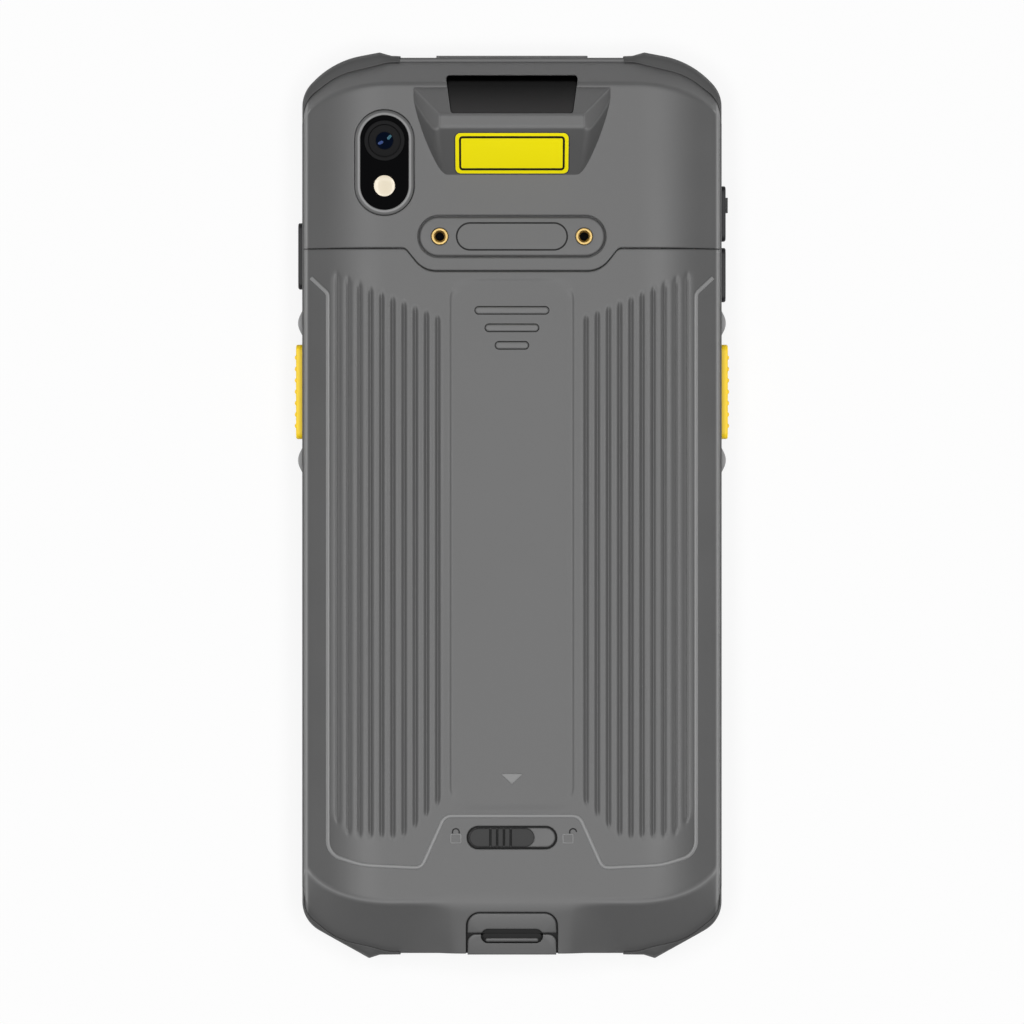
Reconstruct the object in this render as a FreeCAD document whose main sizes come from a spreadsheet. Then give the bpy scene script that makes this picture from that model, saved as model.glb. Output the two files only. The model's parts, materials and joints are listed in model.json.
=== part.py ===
# Portable barcode data terminal, lying on its display with its back up.
# +X is to the right seen from the back, +Y towards the scanner end, +Z out of the back.
# The origin is under the middle of the terminal, on the plane its display rim rests on.
import FreeCAD, Part
import math
import os
import re
import Sketcher

V = FreeCAD.Vector
doc = FreeCAD.newDocument("data_terminal")

# Driving dimensions in millimetres
SIZES = {
    # outline of the frame, seen from the back
    "body_width": 76.0,
    "body_length": 162.2,
    "ear_rise": 1.05,
    "ear_inset": 13.8,
    "ear_ramp": 2.2,
    "shoulder_inset": 5.5,
    "shoulder_drop": 0.6,
    "shoulder_round": 16.0,
    "corner_drop": 6.4,
    "foot_inset": 12.0,
    "lower_corner_drop": 5.8,
    "corner_round": 6.0,
    "tip_round": 0.5,
    "rim_round": 0.4,
    "bumper_thickness": 1.3,
    "bumper_reach": 12.0,
    # heights from the rest plane up
    "bezel_height": 3.0,
    "bezel_round": 1.0,
    "frame_height": 6.5,
    "crown_height": 6.5,
    # back shell
    "rim_step": 0.35,
    "top_step": 0.75,
    "bottom_step": 0.25,
    "shell_wall": 1.4,
    "shell_corner_drop": 7.0,
    "shell_corner_round": 5.0,
    "shell_shoulder_inset": 6.0,
    "shell_shoulder_drop": 2.2,
    "shell_shoulder_round": 14.0,
    "shell_flat_inset": 15.2,
    "shell_flat_round": 8.0,
    "crown_inset": 9.15,
    "crown_drop": 3.8,
    "crown_round": 30.0,
    "crown_edge_round": 1.8,
    "top_band_run": 5.0,
    "chin_run": 9.85,
    # seam between the rear housing and the battery cover
    "seam_from_top": 34.8,
    "seam_tongue": 4.1,
    "tongue_half_width": 19.2,
    "tongue_ramp": 3.3,
    "tongue_root_round": 1.2,
    "tongue_foot_round": 4.8,
    "seam_gap": 0.25,
    # scanner hood
    "hood_rise": 6.75,
    "hood_base_width": 35.6,
    "hood_foot_width": 22.6,
    "hood_ridge_width": 26.2,
    "hood_ridge_depth": 2.0,
    "hood_length": 15.85,
    "hood_wall": 1.3,
    "window_top_width": 22.0,
    "window_bottom_width": 24.2,
    "window_overhang": 2.3,
    "window_from_ridge": 0.35,
    "window_thickness": 1.1,
    "window_recess": 0.5,
    "window_round": 0.8,
    "gasket_width": 0.45,
    "label_width": 20.4,
    "label_length": 7.3,
    "label_thickness": 0.3,
    "label_round": 0.7,
    # camera and flash
    "camera_x": -22.94,
    "camera_from_top": 19.4,
    "camera_window_width": 8.7,
    "camera_window_length": 17.0,
    "camera_ring_width": 0.6,
    "camera_ring_height": 0.3,
    "camera_lens_offset": 3.95,
    "flash_offset": 4.2,
    "flash_radius": 1.9,
    "lens_window_radius": 3.7,
    "lens_barrel_radius": 3.2,
    "lens_barrel_height": 1.3,
    "lens_radius": 2.15,
    "lens_thickness": 0.6,
    "camera_module_width": 8.6,
    "camera_module_drop": 2.6,
    "flash_chip_width": 2.8,
    # strap mount
    "strap_from_top": 32.7,
    "strap_width": 34.0,
    "strap_length": 7.4,
    "strap_recess": 0.9,
    "strap_plate_gap": 0.2,
    "strap_inlay_width": 20.0,
    "strap_inlay_length": 4.7,
    "strap_inlay_groove": 0.35,
    "insert_spacing": 26.0,
    "insert_radius": 1.55,
    "insert_bore": 0.8,
    "insert_boss_wall": 1.0,
    "insert_length": 4.0,
    # ribs, panel, beads and marks on the battery cover
    "rib_count": 10,
    "rib_pitch": 2.02,
    "rib_first": 13.4,
    "rib_groove": 0.75,
    "rib_depth": 0.45,
    "rib_field_inner": 12.2,
    "rib_field_outer": 32.4,
    "rib_field_turn_inner": 18.0,
    "rib_field_turn_outer": 30.0,
    "rib_field_from_top": 39.0,
    "rib_field_slant": 8.2,
    "rib_field_from_bottom": 22.6,
    "rib_field_rise": 5.2,
    "rib_field_dip": 1.8,
    "rib_field_round": 6.0,
    "panel_width": 22.4,
    "panel_length": 95.0,
    "panel_from_top": 40.6,
    "panel_depth": 0.25,
    "panel_round": 2.7,
    "bead_width": 0.5,
    "bead_height": 0.2,
    "bead_half_width": 33.3,
    "bead_flare": 3.5,
    "bead_from_top": 42.9,
    "bead_from_bottom": 16.4,
    "bead_step": 9.4,
    "bead_step_inner": 12.2,
    "bead_step_outer": 16.6,
    "bead_round": 4.5,
    "bar_length": 13.4,
    "bar_shortening": 3.6,
    "bar_width": 1.45,
    "bar_pitch": 3.16,
    "bar_from_top": 46.0,
    "bar_count": 3,
    "mark_height": 0.3,
    "arrow_width": 4.3,
    "arrow_length": 2.0,
    "arrow_from_bottom": 32.0,
    # lock
    "lock_from_bottom": 21.3,
    "lock_slot_width": 16.3,
    "lock_slot_length": 4.2,
    "lock_floor": 0.8,
    "slider_width": 12.3,
    "slider_gap": 0.15,
    "slider_travel": 3.8,
    "slider_proud": 0.15,
    "slider_rib_width": 0.7,
    "slider_rib_length": 3.4,
    "slider_rib_pitch": 1.7,
    "slider_rib_height": 0.5,
    "lock_stem_width": 6.0,
    "lock_stem_length": 2.1,
    "bolt_length": 9.0,
    "bolt_tail": 5.6,
    "bolt_width": 4.0,
    "bolt_thickness": 0.9,
    "lock_finger_width": 2.0,
    "lock_finger_length": 3.0,
    "lock_finger_drop": 1.6,
    "lock_catch_gap": 0.3,
    "lock_catch_wall": 0.8,
    "detent_thickness": 0.2,
    "detent_width": 0.7,
    "hook_width": 2.6,
    "hook_reach": 1.6,
    "hook_root": 3.6,
    "hook_drop": 1.4,
    "hook_thickness": 1.0,
    # port cover
    "port_cover_width": 14.8,
    "port_cover_wall": 1.2,
    "port_cover_lid": 1.2,
    "port_cover_gap": 0.25,
    "port_cover_reach": 3.65,
    "port_recess_width": 16.6,
    "port_recess_reach": 7.9,
    "port_recess_depth": 0.7,
    "port_recess_round": 2.5,
    "hinge_radius": 1.1,
    "hinge_pin_radius": 0.5,
    "pin_clearance": 0.04,
    "nail_slot_width": 11.2,
    "nail_slot_length": 2.6,
    "nail_depth": 0.5,
    "connector_width": 8.9,
    "connector_height": 2.7,
    "connector_length": 7.3,
    "connector_setback": 2.2,
    "connector_wall": 0.3,
    "connector_tongue_width": 6.6,
    "connector_tongue_height": 0.7,
    # display
    "glass_width": 71.6,
    "glass_length": 150.0,
    "glass_thickness": 1.1,
    "glass_recess": 0.35,
    "glass_round": 3.0,
    "glass_gap": 0.1,
    "display_width": 67.4,
    "display_length": 137.0,
    "display_thickness": 1.45,
    "earpiece_width": 12.0,
    "front_lens_radius": 1.6,
    "front_lens_x": -12.0,
    "earpiece_length": 2.8,
    "earpiece_slot_length": 1.2,
    "front_part_gap": 0.3,
    "display_gap": 0.2,
    "front_parts_from_top": 9.6,
    # frame tray
    "frame_wall": 1.9,
    "floor_thickness": 1.2,
    "top_pad_width": 27.4,
    "top_pad_rise": 0.4,
    "top_pad_edge": 0.9,
    # side keys
    "key_height": 3.6,
    "key_round": 1.2,
    "key_gap": 0.15,
    "key_travel": 0.35,
    "key_flange": 0.65,
    "key_flange_lip": 0.4,
    "key_edge": 0.3,
    "key_proud": 0.75,
    "scan_key_proud": 1.15,
    "scan_key_length": 17.1,
    "scan_key_from_top": 60.5,
    "left_key_length": 12.0,
    "left_key_from_top": 35.9,
    "upper_key_length": 10.0,
    "upper_key_from_top": 28.2,
    "lower_key_length": 9.8,
    "lower_key_from_top": 39.3,
    "key_nub_length": 2.7,
    "grip_pitch": 2.06,
    "grip_count": 7,
    "grip_radius": 0.5,
    "grip_sink": 0.25,
    "grip_edge": 0.6,
    "guard_proud": 0.75,
    "guard_length": 6.8,
    "guard_round": 3.0,
    "guard_from_key": 3.85,
    "switch_depth": 1.6,
    "switch_length": 3.2,
    "switch_height": 2.8,
    "switch_gap": 0.05,
    "key_flex_thickness": 0.3,
    "key_flex_height": 4.0,
    # battery and its bay
    "battery_width": 61.0,
    "battery_length": 92.0,
    "battery_height": 7.5,
    "battery_lift": 0.4,
    "battery_from_top": 43.0,
    "battery_round": 2.0,
    "battery_edge": 0.8,
    "bay_gap": 0.4,
    "bay_wall": 1.2,
    "bay_wall_gap": 0.2,
    "seal_gap": 0.15,
    "contact_count": 5,
    "contact_pitch": 2.6,
    "contact_radius": 0.45,
    "contact_width": 14.0,
    "contact_length": 2.6,
    "contact_height": 2.8,
    "contact_opening_gap": 0.3,
    "flex_x": 8.0,
    "flex_width": 8.0,
    "flex_thickness": 0.15,
    "flex_plug_width": 6.0,
    "flex_plug_length": 2.0,
    # boards and what is on them
    "board_thickness": 0.8,
    "standoff": 0.9,
    "main_board_width": 56.0,
    "main_board_length": 30.0,
    "main_board_from_top": 9.5,
    "sub_board_width": 26.0,
    "sub_board_length": 9.6,
    "sub_board_lift": 0.35,
    "can_height": 1.8,
    "can_wall": 0.2,
    "can_width": 14.0,
    "can_length": 16.0,
    "processor_width": 12.0,
    "processor_gap": 0.4,
    "card_socket_width": 13.0,
    "card_socket_length": 12.0,
    "card_socket_height": 1.4,
    "engine_width": 20.6,
    "engine_length": 7.4,
    "engine_height": 9.3,
    "engine_from_top": 10.5,
    "engine_lift": 2.3,
    "engine_bracket_width": 24.0,
    "engine_bracket_wall": 0.8,
    "engine_bracket_leg": 1.5,
    "scan_lens_x": 4.5,
    "scan_lens_radius": 2.6,
    "aiming_lens_x": -5.0,
    "aiming_lens_radius": 1.5,
    "microphone_x": 10.0,
    "microphone_width": 3.0,
    "microphone_length": 2.4,
    "microphone_height": 1.0,
    "speaker_width": 12.0,
    "speaker_length": 9.6,
    "speaker_height": 3.4,
    "motor_radius": 4.0,
    "motor_height": 2.8,
    "antenna_x": 13.0,
    "antenna_width": 13.0,
    "antenna_height": 3.6,
    "antenna_thickness": 0.3,
    # fasteners
    "screw_radius": 0.8,
    "screw_head_radius": 1.6,
    "screw_head_height": 0.9,
    "screw_length": 3.4,
    "screw_x": 30.0,
    "screw_from_end": 9.4,
}

sheet = doc.addObject("Spreadsheet::Sheet", "dims")
for row, (alias, size) in enumerate(SIZES.items(), start=1):
    sheet.set(f"A{row}", alias)
    sheet.set(f"B{row}", str(size))
    sheet.setAlias(f"B{row}", alias)
doc.recompute()

# Places that follow from the driving dimensions
HALF = "(body_width / 2)"
END = "(body_length / 2)"
FLOOR = "(bezel_height + floor_thickness)"
SEAM = "(bezel_height + frame_height)"
BACK = "(bezel_height + frame_height + crown_height)"
SHELL_HALF = "(body_width / 2 - rim_step)"
SHELL_TOP = "(body_length / 2 - top_step)"
SHELL_BOTTOM = "(body_length / 2 - bottom_step)"
BAND_SLOPE = "(crown_height / top_band_run)"
CHIN_SLOPE = "(crown_height / chin_run)"
CREASE = "(body_length / 2 - top_step - top_band_run)"
SEAM_Y = "(body_length / 2 - seam_from_top)"
LOCK_Y = "(-body_length / 2 + lock_from_bottom)"
STRAP_Y = "(body_length / 2 - strap_from_top)"
CAMERA_Y = "(body_length / 2 - camera_from_top)"
WORD = re.compile(r"\b[a-z]+(?:_[a-z]+)*\b")


def bound(text):
    """A size written with plain aliases, as an expression on the sheet."""
    return WORD.sub(lambda word: f"dims.{word[0]}" if word[0] in SIZES else word[0], str(text))


def number(text):
    """The value in millimetres of a size written with plain aliases."""
    value = sheet.evalExpression(bound(text))
    return float(getattr(value, "Value", value))


def bind(thing, sizes):
    """Binds properties of an object to sizes on the sheet."""
    for name, text in sizes.items():
        thing.setExpression(name, bound(text))


# Outlines in sketches: each corner is (x, y, round), and the round may be None


def mirrored(right_side):
    """A closed outline from its right side, listed from the bottom up."""
    left_side = [(f"-({x})", y, round_) for x, y, round_ in reversed(right_side)]
    return right_side + left_side


def rectangle(x, y, width, length, round_=None):
    """Corners of a rectangle about its centre."""
    west, east = f"{x} - ({width}) / 2", f"{x} + ({width}) / 2"
    south, north = f"{y} - ({length}) / 2", f"{y} + ({length}) / 2"
    return [(west, south, round_), (east, south, round_), (east, north, round_), (west, north, round_)]


SLIVER = 0.05


def stadium(x, y, width, length):
    """A rectangle with round ends; a sliver of each short side stays straight."""
    short = min((width, length), key=number)
    return rectangle(x, y, width, length, f"({short}) / 2 - {SLIVER}")


def draw(sketch, corners):
    """Lines between the corners, with a tangent arc at each round one."""
    points = [V(number(x), number(y), 0) for x, y, _ in corners]
    radii = [number(round_) if round_ else 0 for _, _, round_ in corners]
    before, after, centres = [], [], []
    for i, point in enumerate(points):
        towards = (point - points[i - 1]).normalize()
        away = (points[(i + 1) % len(points)] - point).normalize()
        turn = math.atan2(towards.cross(away).z, towards.dot(away))
        reach = radii[i] * math.tan(abs(turn) / 2)
        side = math.copysign(1, turn)
        before.append(point - towards * reach)
        after.append(point + away * reach)
        centres.append((before[i] + V(-towards.y, towards.x, 0) * side * radii[i], side))
    lines = []
    for i in range(len(points)):
        end = before[(i + 1) % len(points)]
        lines.append(sketch.addGeometry(Part.LineSegment(after[i], end)))
    for i, (x, y, round_) in enumerate(corners):
        last, this = lines[i - 1], lines[i]
        if radii[i]:
            centre, side = centres[i]
            start, end = (before[i], after[i]) if side > 0 else (after[i], before[i])
            angles = [math.atan2(p.y - centre.y, p.x - centre.x) for p in (start, end)]
            circle = Part.Circle(centre, V(0, 0, 1), radii[i])
            arc = sketch.addGeometry(Part.ArcOfCircle(circle, *angles))
            first, second = (1, 2) if side > 0 else (2, 1)
            sketch.addConstraint(Sketcher.Constraint("Tangent", last, 2, arc, first))
            sketch.addConstraint(Sketcher.Constraint("Tangent", arc, second, this, 1))
            radius = sketch.addConstraint(Sketcher.Constraint("Radius", arc, radii[i]))
            sketch.setExpression(f"Constraints[{radius}]", bound(round_))
            corner = sketch.addGeometry(Part.Point(points[i]), True)
            sketch.addConstraint(Sketcher.Constraint("PointOnObject", corner, 1, last))
            sketch.addConstraint(Sketcher.Constraint("PointOnObject", corner, 1, this))
        else:
            sketch.addConstraint(Sketcher.Constraint("Coincident", last, 2, this, 1))
            corner = this
        for kind, text, value in (("DistanceX", x, points[i].x), ("DistanceY", y, points[i].y)):
            distance = sketch.addConstraint(Sketcher.Constraint(kind, -1, 1, corner, 1, value))
            sketch.setExpression(f"Constraints[{distance}]", bound(text))


def sketched(body, name, corners, plane, offset):
    """A sketch on one of the body's own planes, moved along its normal."""
    sketch = body.newObject("Sketcher::SketchObject", name)
    features = body.Origin.OriginFeatures
    support = next(feature for feature in features if feature.Role == plane)
    sketch.AttachmentSupport = [(support, "")]
    sketch.MapMode = "FlatFace"
    bind(sketch, {"AttachmentOffset.Base.z": offset})
    draw(sketch, corners)
    return sketch


def slab(label, corners, start, thickness, plane="XY_Plane"):
    """A padded outline: up +Z from start, or along +X on YZ_Plane, or along -Y on XZ_Plane."""
    body = doc.addObject("PartDesign::Body", label)
    sketch = sketched(body, f"{label}_outline", corners, plane, start)
    pad = body.newObject("PartDesign::Pad", f"{label}_pad")
    pad.Profile = sketch
    bind(pad, {"Length": thickness})
    sketch.Visibility = False
    return body


def leaning(label, corners, start, run, rise, up, down):
    """An outline at height start carried along (0, run, rise), for lengths up and down."""
    body = doc.addObject("PartDesign::Body", f"{label}_base")
    sketch = sketched(body, f"{label}_outline", corners, "XY_Plane", start)
    solid = doc.addObject("Part::Extrusion", label)
    solid.Base = sketch
    solid.DirMode = "Custom"
    solid.Solid = True
    solid.Dir = V(0, number(run), number(rise))
    bind(solid, {"Dir.y": run, "Dir.z": rise, "LengthFwd": up, "LengthRev": down})
    return solid


def block(label, x, y, z):
    """A box, with (start, length) along each axis."""
    box = doc.addObject("Part::Box", label)
    bind(box, {"Placement.Base.x": x[0], "Placement.Base.y": y[0], "Placement.Base.z": z[0]})
    bind(box, {"Length": x[1], "Width": y[1], "Height": z[1]})
    return box


TURNS = {
    "Z": FreeCAD.Rotation(),
    "X": FreeCAD.Rotation(V(0, 1, 0), 90),
    "Y": FreeCAD.Rotation(V(1, 0, 0), -90),
}


def rod(label, base, radius, length, along="Z"):
    """A cylinder from its base point, along a positive axis."""
    cylinder = doc.addObject("Part::Cylinder", label)
    cylinder.Placement = FreeCAD.Placement(V(), TURNS[along])
    names = ("Placement.Base.x", "Placement.Base.y", "Placement.Base.z")
    bind(cylinder, dict(zip(names, base)))
    bind(cylinder, {"Radius": radius, "Height": length})
    return cylinder


def joined(label, *solids):
    fuse = doc.addObject("Part::MultiFuse", label)
    fuse.Shapes = list(solids)
    return fuse


def shared(label, *solids):
    common = doc.addObject("Part::MultiCommon", label)
    common.Shapes = list(solids)
    return common


def without(label, base, *tools):
    cut = doc.addObject("Part::Cut", label)
    cut.Base = base
    cut.Tool = tools[0] if len(tools) == 1 else joined(f"{label}_tools", *tools)
    return cut


def grouped(label, *solids):
    """Separate solids that share one node."""
    group = doc.addObject("Part::Compound", label)
    group.Links = list(solids)
    return group


def rounded(label, base, radius, wanted):
    """The base with the edges rounded for which wanted(edge) is true."""
    doc.recompute()
    size = number(radius)
    numbers = [i for i, edge in enumerate(base.Shape.Edges, start=1) if wanted(edge)]
    fillet = doc.addObject("Part::Fillet", label)
    fillet.Base = base
    fillet.Edges = [(i, size, size) for i in numbers]
    return fillet


def flat_at(axis, place):
    """Picks the edges that lie wholly at one place along an axis."""
    def wanted(edge):
        box = edge.BoundBox
        low, high = getattr(box, f"{axis}Min"), getattr(box, f"{axis}Max")
        return abs(low - place) < 0.01 and abs(high - place) < 0.01
    return wanted


pieces = []


def finish(label, solid):
    """Names a finished piece; the name is its node and its file."""
    solid.Label = label
    pieces.append(solid)
    return solid


# Outlines of the frame and of the back shell, the inset being measured inwards


def rim_outline(inset="0"):
    corner = f"corner_round - ({inset})"
    right_side = [
        (f"{HALF} - foot_inset - ear_ramp", f"-({END} - ({inset}))", None),
        (f"{HALF} - foot_inset", f"-({END} + ear_rise - ({inset}))", "tip_round"),
        (f"{HALF} - ({inset})", f"-({END} - lower_corner_drop - 0.6 * ({inset}))", corner),
        (f"{HALF} - ({inset})", f"{END} - corner_drop - 0.5 * ({inset})", corner),
        (
            f"{HALF} - shoulder_inset - 0.4 * ({inset})",
            f"{END} - shoulder_drop - ({inset})",
            "shoulder_round",
        ),
        (f"{HALF} - ear_inset", f"{END} + ear_rise - ({inset})", "tip_round"),
        (f"{HALF} - ear_inset - ear_ramp", f"{END} - ({inset})", None),
    ]
    return mirrored(right_side)


def shell_end(end, inset, sign):
    """Corners of one end of the shell on its right side, from the side to the flat end."""
    side = f"{SHELL_HALF} - ({inset})"
    return [
        (side, f"{sign}({end} - shell_corner_drop - ({inset}))", f"shell_corner_round - ({inset})"),
        (
            f"{SHELL_HALF} - shell_shoulder_inset - ({inset})",
            f"{sign}({end} - shell_shoulder_drop - ({inset}))",
            f"shell_shoulder_round - ({inset})",
        ),
        (
            f"{SHELL_HALF} - shell_flat_inset - ({inset})",
            f"{sign}({end} - ({inset}))",
            f"shell_flat_round - ({inset})",
        ),
    ]


def shell_outline(inset="0"):
    lower_end = shell_end(SHELL_BOTTOM, inset, "-")
    return mirrored(lower_end[::-1] + shell_end(SHELL_TOP, inset, ""))


def shell_section(inset):
    """The crowned cross-section; it starts well under the seam."""
    edge = f"{SHELL_HALF} - ({inset})"
    return mirrored([
        (edge, f"{SEAM} - frame_height / 2", None),
        (edge, f"{BACK} - crown_drop - ({inset})", "crown_edge_round"),
        (f"{SHELL_HALF} - crown_inset", f"{BACK} - ({inset})", "crown_round"),
    ])


def shell_solid(label, inset, start):
    """The space under the back, inset all round, from the height start up."""
    plan = slab(f"{label}_plan", shell_outline(inset), start, "crown_height + frame_height")
    section = slab(
        f"{label}_section",
        shell_section(inset),
        f"-{END} - ear_rise",
        "body_length + 2 * ear_rise",
        "XZ_Plane",
    )
    faces = []
    for name, end, sign, run in (
        ("band", SHELL_TOP, "", "top_band_run"),
        ("chin", SHELL_BOTTOM, "-", "chin_run"),
    ):
        slant = f"sqrt({run} ^ 2 + crown_height ^ 2)"
        level_inset = f"({inset}) * {slant} / crown_height"
        near = shell_end(end, level_inset, sign)
        near = [(f"{SHELL_HALF} - ({inset})", near[0][1], near[0][2])] + near[1:]
        far = (f"{SHELL_HALF} - ({inset})", f"{'-' if sign == '' else ''}body_length", None)
        right_side = [far] + near if sign == "" else near[::-1] + [far]
        lean = f"-{run}" if sign == "" else run
        up, down = f"1.2 * {slant}", f"0.5 * {slant}"
        corners = mirrored(right_side)
        faces.append(leaning(f"{label}_{name}", corners, SEAM, lean, "crown_height", up, down))
    return shared(label, plan, section, *faces)


back_solid = shell_solid("back_solid", "0", SEAM)
back_hollow = shell_solid("back_hollow", "shell_wall", f"{SEAM} - 1")
back_shell = without("back_shell", back_solid, back_hollow)


# Rear housing and battery cover, parted along the seam


def cover_area(label, gap):
    """Everything below the seam, with the housing's tongue left out of it."""
    top = f"{SEAM_Y} - ({gap})"
    low = f"{SEAM_Y} - seam_tongue - ({gap})"
    right_side = [
        ("body_width", "-body_length", None),
        ("body_width", top, None),
        (f"tongue_half_width + 0.6 * ({gap})", top, "tongue_root_round"),
        (f"tongue_half_width - tongue_ramp + 0.6 * ({gap})", low, "tongue_foot_round"),
    ]
    start = f"{SEAM} - 0.8 * seam_gap + 1.6 * ({gap})"
    return slab(label, mirrored(right_side), start, "crown_height + hood_rise")


housing_shell = without("housing_shell", back_shell, cover_area("housing_side_of_seam", "0"))
cover_shell = shared("cover_shell", back_shell, cover_area("cover_side_of_seam", "seam_gap"))

# Scanner hood, its window and the plate on its lower face
RIDGE_Y = f"({CREASE} - hood_rise / {BAND_SLOPE})"
HOOD_FOOT = f"({CREASE} - hood_length)"
FOOT_SLOPE = f"(hood_rise / (hood_length - hood_rise / {BAND_SLOPE} - hood_ridge_depth))"


def hood_block(label, inset, start, top):
    """The hood's ruled body between its footprint and its ridge."""
    foot = mirrored([
        (f"hood_foot_width / 2 - ({inset})", f"{HOOD_FOOT} + ({inset})", None),
        (f"hood_base_width / 2 - 1.3 * ({inset})", f"{CREASE} - ({inset})", None),
    ])
    ridge = mirrored([
        (f"hood_ridge_width / 2 - ({inset})", f"{RIDGE_Y} - hood_ridge_depth + 0.4 * ({inset})", None),
        (f"hood_ridge_width / 2 - ({inset})", f"{RIDGE_Y} - 0.4 * ({inset})", None),
    ])
    body = doc.addObject("PartDesign::Body", f"{label}_sections")
    loft = doc.addObject("Part::Loft", label)
    loft.Sections = [
        sketched(body, f"{label}_foot", foot, "XY_Plane", start),
        sketched(body, f"{label}_ridge", ridge, "XY_Plane", top),
    ]
    loft.Solid = True
    loft.Ruled = True
    return loft


def under_plane(label, y, slope, south, north, above, below):
    """A layer along a sloping face, between two depths measured square to it."""
    steep = f"sqrt(1 + {slope} ^ 2)"
    corners = [
        (where, f"{BACK} + ({where} - {y}) * {slope} - ({depth}) * {steep}", None)
        for where, depth in ((south, below), (north, below), (north, above), (south, above))
    ]
    return slab(label, corners, f"-{HALF}", "body_width", "YZ_Plane")


def window_prism(label, inset):
    """The window's outline seen from the back, carried straight down."""
    near = f"{CREASE} + window_overhang - ({inset})"
    far = f"{RIDGE_Y} + window_from_ridge + ({inset})"
    outline = mirrored([
        (f"window_top_width / 2 - ({inset})", far, "window_round"),
        (f"window_bottom_width / 2 - ({inset})", near, "window_round"),
    ])
    return slab(label, outline, SEAM, "crown_height + hood_rise")


band_ends = (f"({RIDGE_Y} - 1)", f"({CREASE} + top_band_run)")
window_end = "window_recess + window_thickness"
hood_blank = hood_block("hood_blank", "0", BACK, f"{BACK} + hood_rise")
hood_room = hood_block("hood_room", "hood_wall", f"{BACK} - 0.2", f"{BACK} + hood_rise - hood_wall")
window_hole = shared(
    "window_hole",
    window_prism("window_hole_prism", "0"),
    under_plane("window_hole_layer", CREASE, f"(-{BAND_SLOPE})", *band_ends, "-1", "4"),
)
finish("scanner_hood", without("hood_shell", hood_blank, hood_room, window_hole))
window_layer = under_plane(
    "window_layer", CREASE, f"(-{BAND_SLOPE})", *band_ends, "window_recess", window_end
)
finish("scan_window", shared("window_plate", window_prism("window_edge", "gasket_width"), window_layer))
gasket_layer = under_plane(
    "gasket_layer", CREASE, f"(-{BAND_SLOPE})", *band_ends, "window_recess / 2", window_end
)
gasket_ring = without(
    "gasket_ring", window_prism("gasket_outside", "0"), window_prism("gasket_inside", "gasket_width")
)
finish("scan_window_gasket", shared("gasket_seated", gasket_ring, gasket_layer))

LABEL_Y = f"({HOOD_FOOT} + hood_rise / {FOOT_SLOPE} / 2)"
label_outline = rectangle("0", LABEL_Y, "label_width", "label_length", "label_round")
label_end = f"({RIDGE_Y} - hood_ridge_depth)"
label_layer = under_plane(
    "label_layer", HOOD_FOOT, FOOT_SLOPE, HOOD_FOOT, label_end, "-label_thickness", "0"
)
label_prism = slab("label_prism", label_outline, BACK, "hood_rise + 2")
finish("label_plate", shared("label_seated", label_prism, label_layer))

# Rear housing: openings for the hood, the camera and the strap mount
camera_hole = stadium("camera_x", CAMERA_Y, "camera_window_width + 2 * camera_ring_width",
                      "camera_window_length + 2 * camera_ring_width")
camera_glass = stadium("camera_x", CAMERA_Y, "camera_window_width", "camera_window_length")
strap_seat = stadium("0", STRAP_Y, "strap_width", "strap_length")
hood_passage = mirrored([
    ("hood_foot_width / 2 - 1.3 * hood_wall", f"{HOOD_FOOT} + 1.3 * hood_wall", None),
    ("hood_base_width / 2 - 2.2 * hood_wall", f"{CREASE} - 1.3 * hood_wall", None),
])
insert_places = (("left", "-insert_spacing / 2"), ("right", "insert_spacing / 2"))
INSERT_Z = f"({BACK} - insert_length)"
bosses = [
    rod(f"insert_boss_{side}", (x, STRAP_Y, f"{INSERT_Z} - 1"), "insert_radius + insert_boss_wall",
        "insert_length")
    for side, x in insert_places
]
insert_holes = [
    rod(f"insert_hole_{side}", (x, STRAP_Y, f"{INSERT_Z} - 2"), "insert_radius", "insert_length + 4")
    for side, x in insert_places
]
housing_body = joined("housing_body", housing_shell, *bosses)
finish("rear_housing", without(
    "housing_cut",
    housing_body,
    window_hole,
    slab("hood_passage", hood_passage, f"{BACK} - crown_height / 2", "crown_height"),
    slab("camera_hole", camera_hole, f"{BACK} - crown_height", "2 * crown_height"),
    slab("strap_seat", strap_seat, f"{BACK} - strap_recess", "2 * strap_recess"),
    *insert_holes,
))

# Strap mount: a plate let into the housing, with two threaded inserts
plate_outline = stadium("0", STRAP_Y, "strap_width - 2 * strap_plate_gap",
                        "strap_length - 2 * strap_plate_gap")
inlay_outline = stadium("0", STRAP_Y, "strap_inlay_width", "strap_inlay_length")
inlay_inside = stadium("0", STRAP_Y, "strap_inlay_width - 2 * strap_inlay_groove",
                       "strap_inlay_length - 2 * strap_inlay_groove")
plate_top = f"({BACK} - 0.1)"
inlay_groove = without(
    "inlay_groove",
    slab("inlay_outside", inlay_outline, f"{plate_top} - 0.3", "1"),
    slab("inlay_inside", inlay_inside, f"{plate_top} - 0.4", "1.2"),
)
finish("strap_plate", without(
    "strap_plate_cut",
    slab("strap_plate_blank", plate_outline, f"{BACK} - strap_recess", "strap_recess - 0.1"),
    inlay_groove,
    *insert_holes,
))
inserts = [
    without(
        f"insert_{side}",
        rod(f"insert_body_{side}", (x, STRAP_Y, INSERT_Z), "insert_radius", "insert_length"),
        rod(f"insert_bore_{side}", (x, STRAP_Y, f"{INSERT_Z} - 1"), "insert_bore", "insert_length + 2"),
    )
    for side, x in insert_places
]
finish("strap_inserts", grouped("insert_pair", *inserts))

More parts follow.
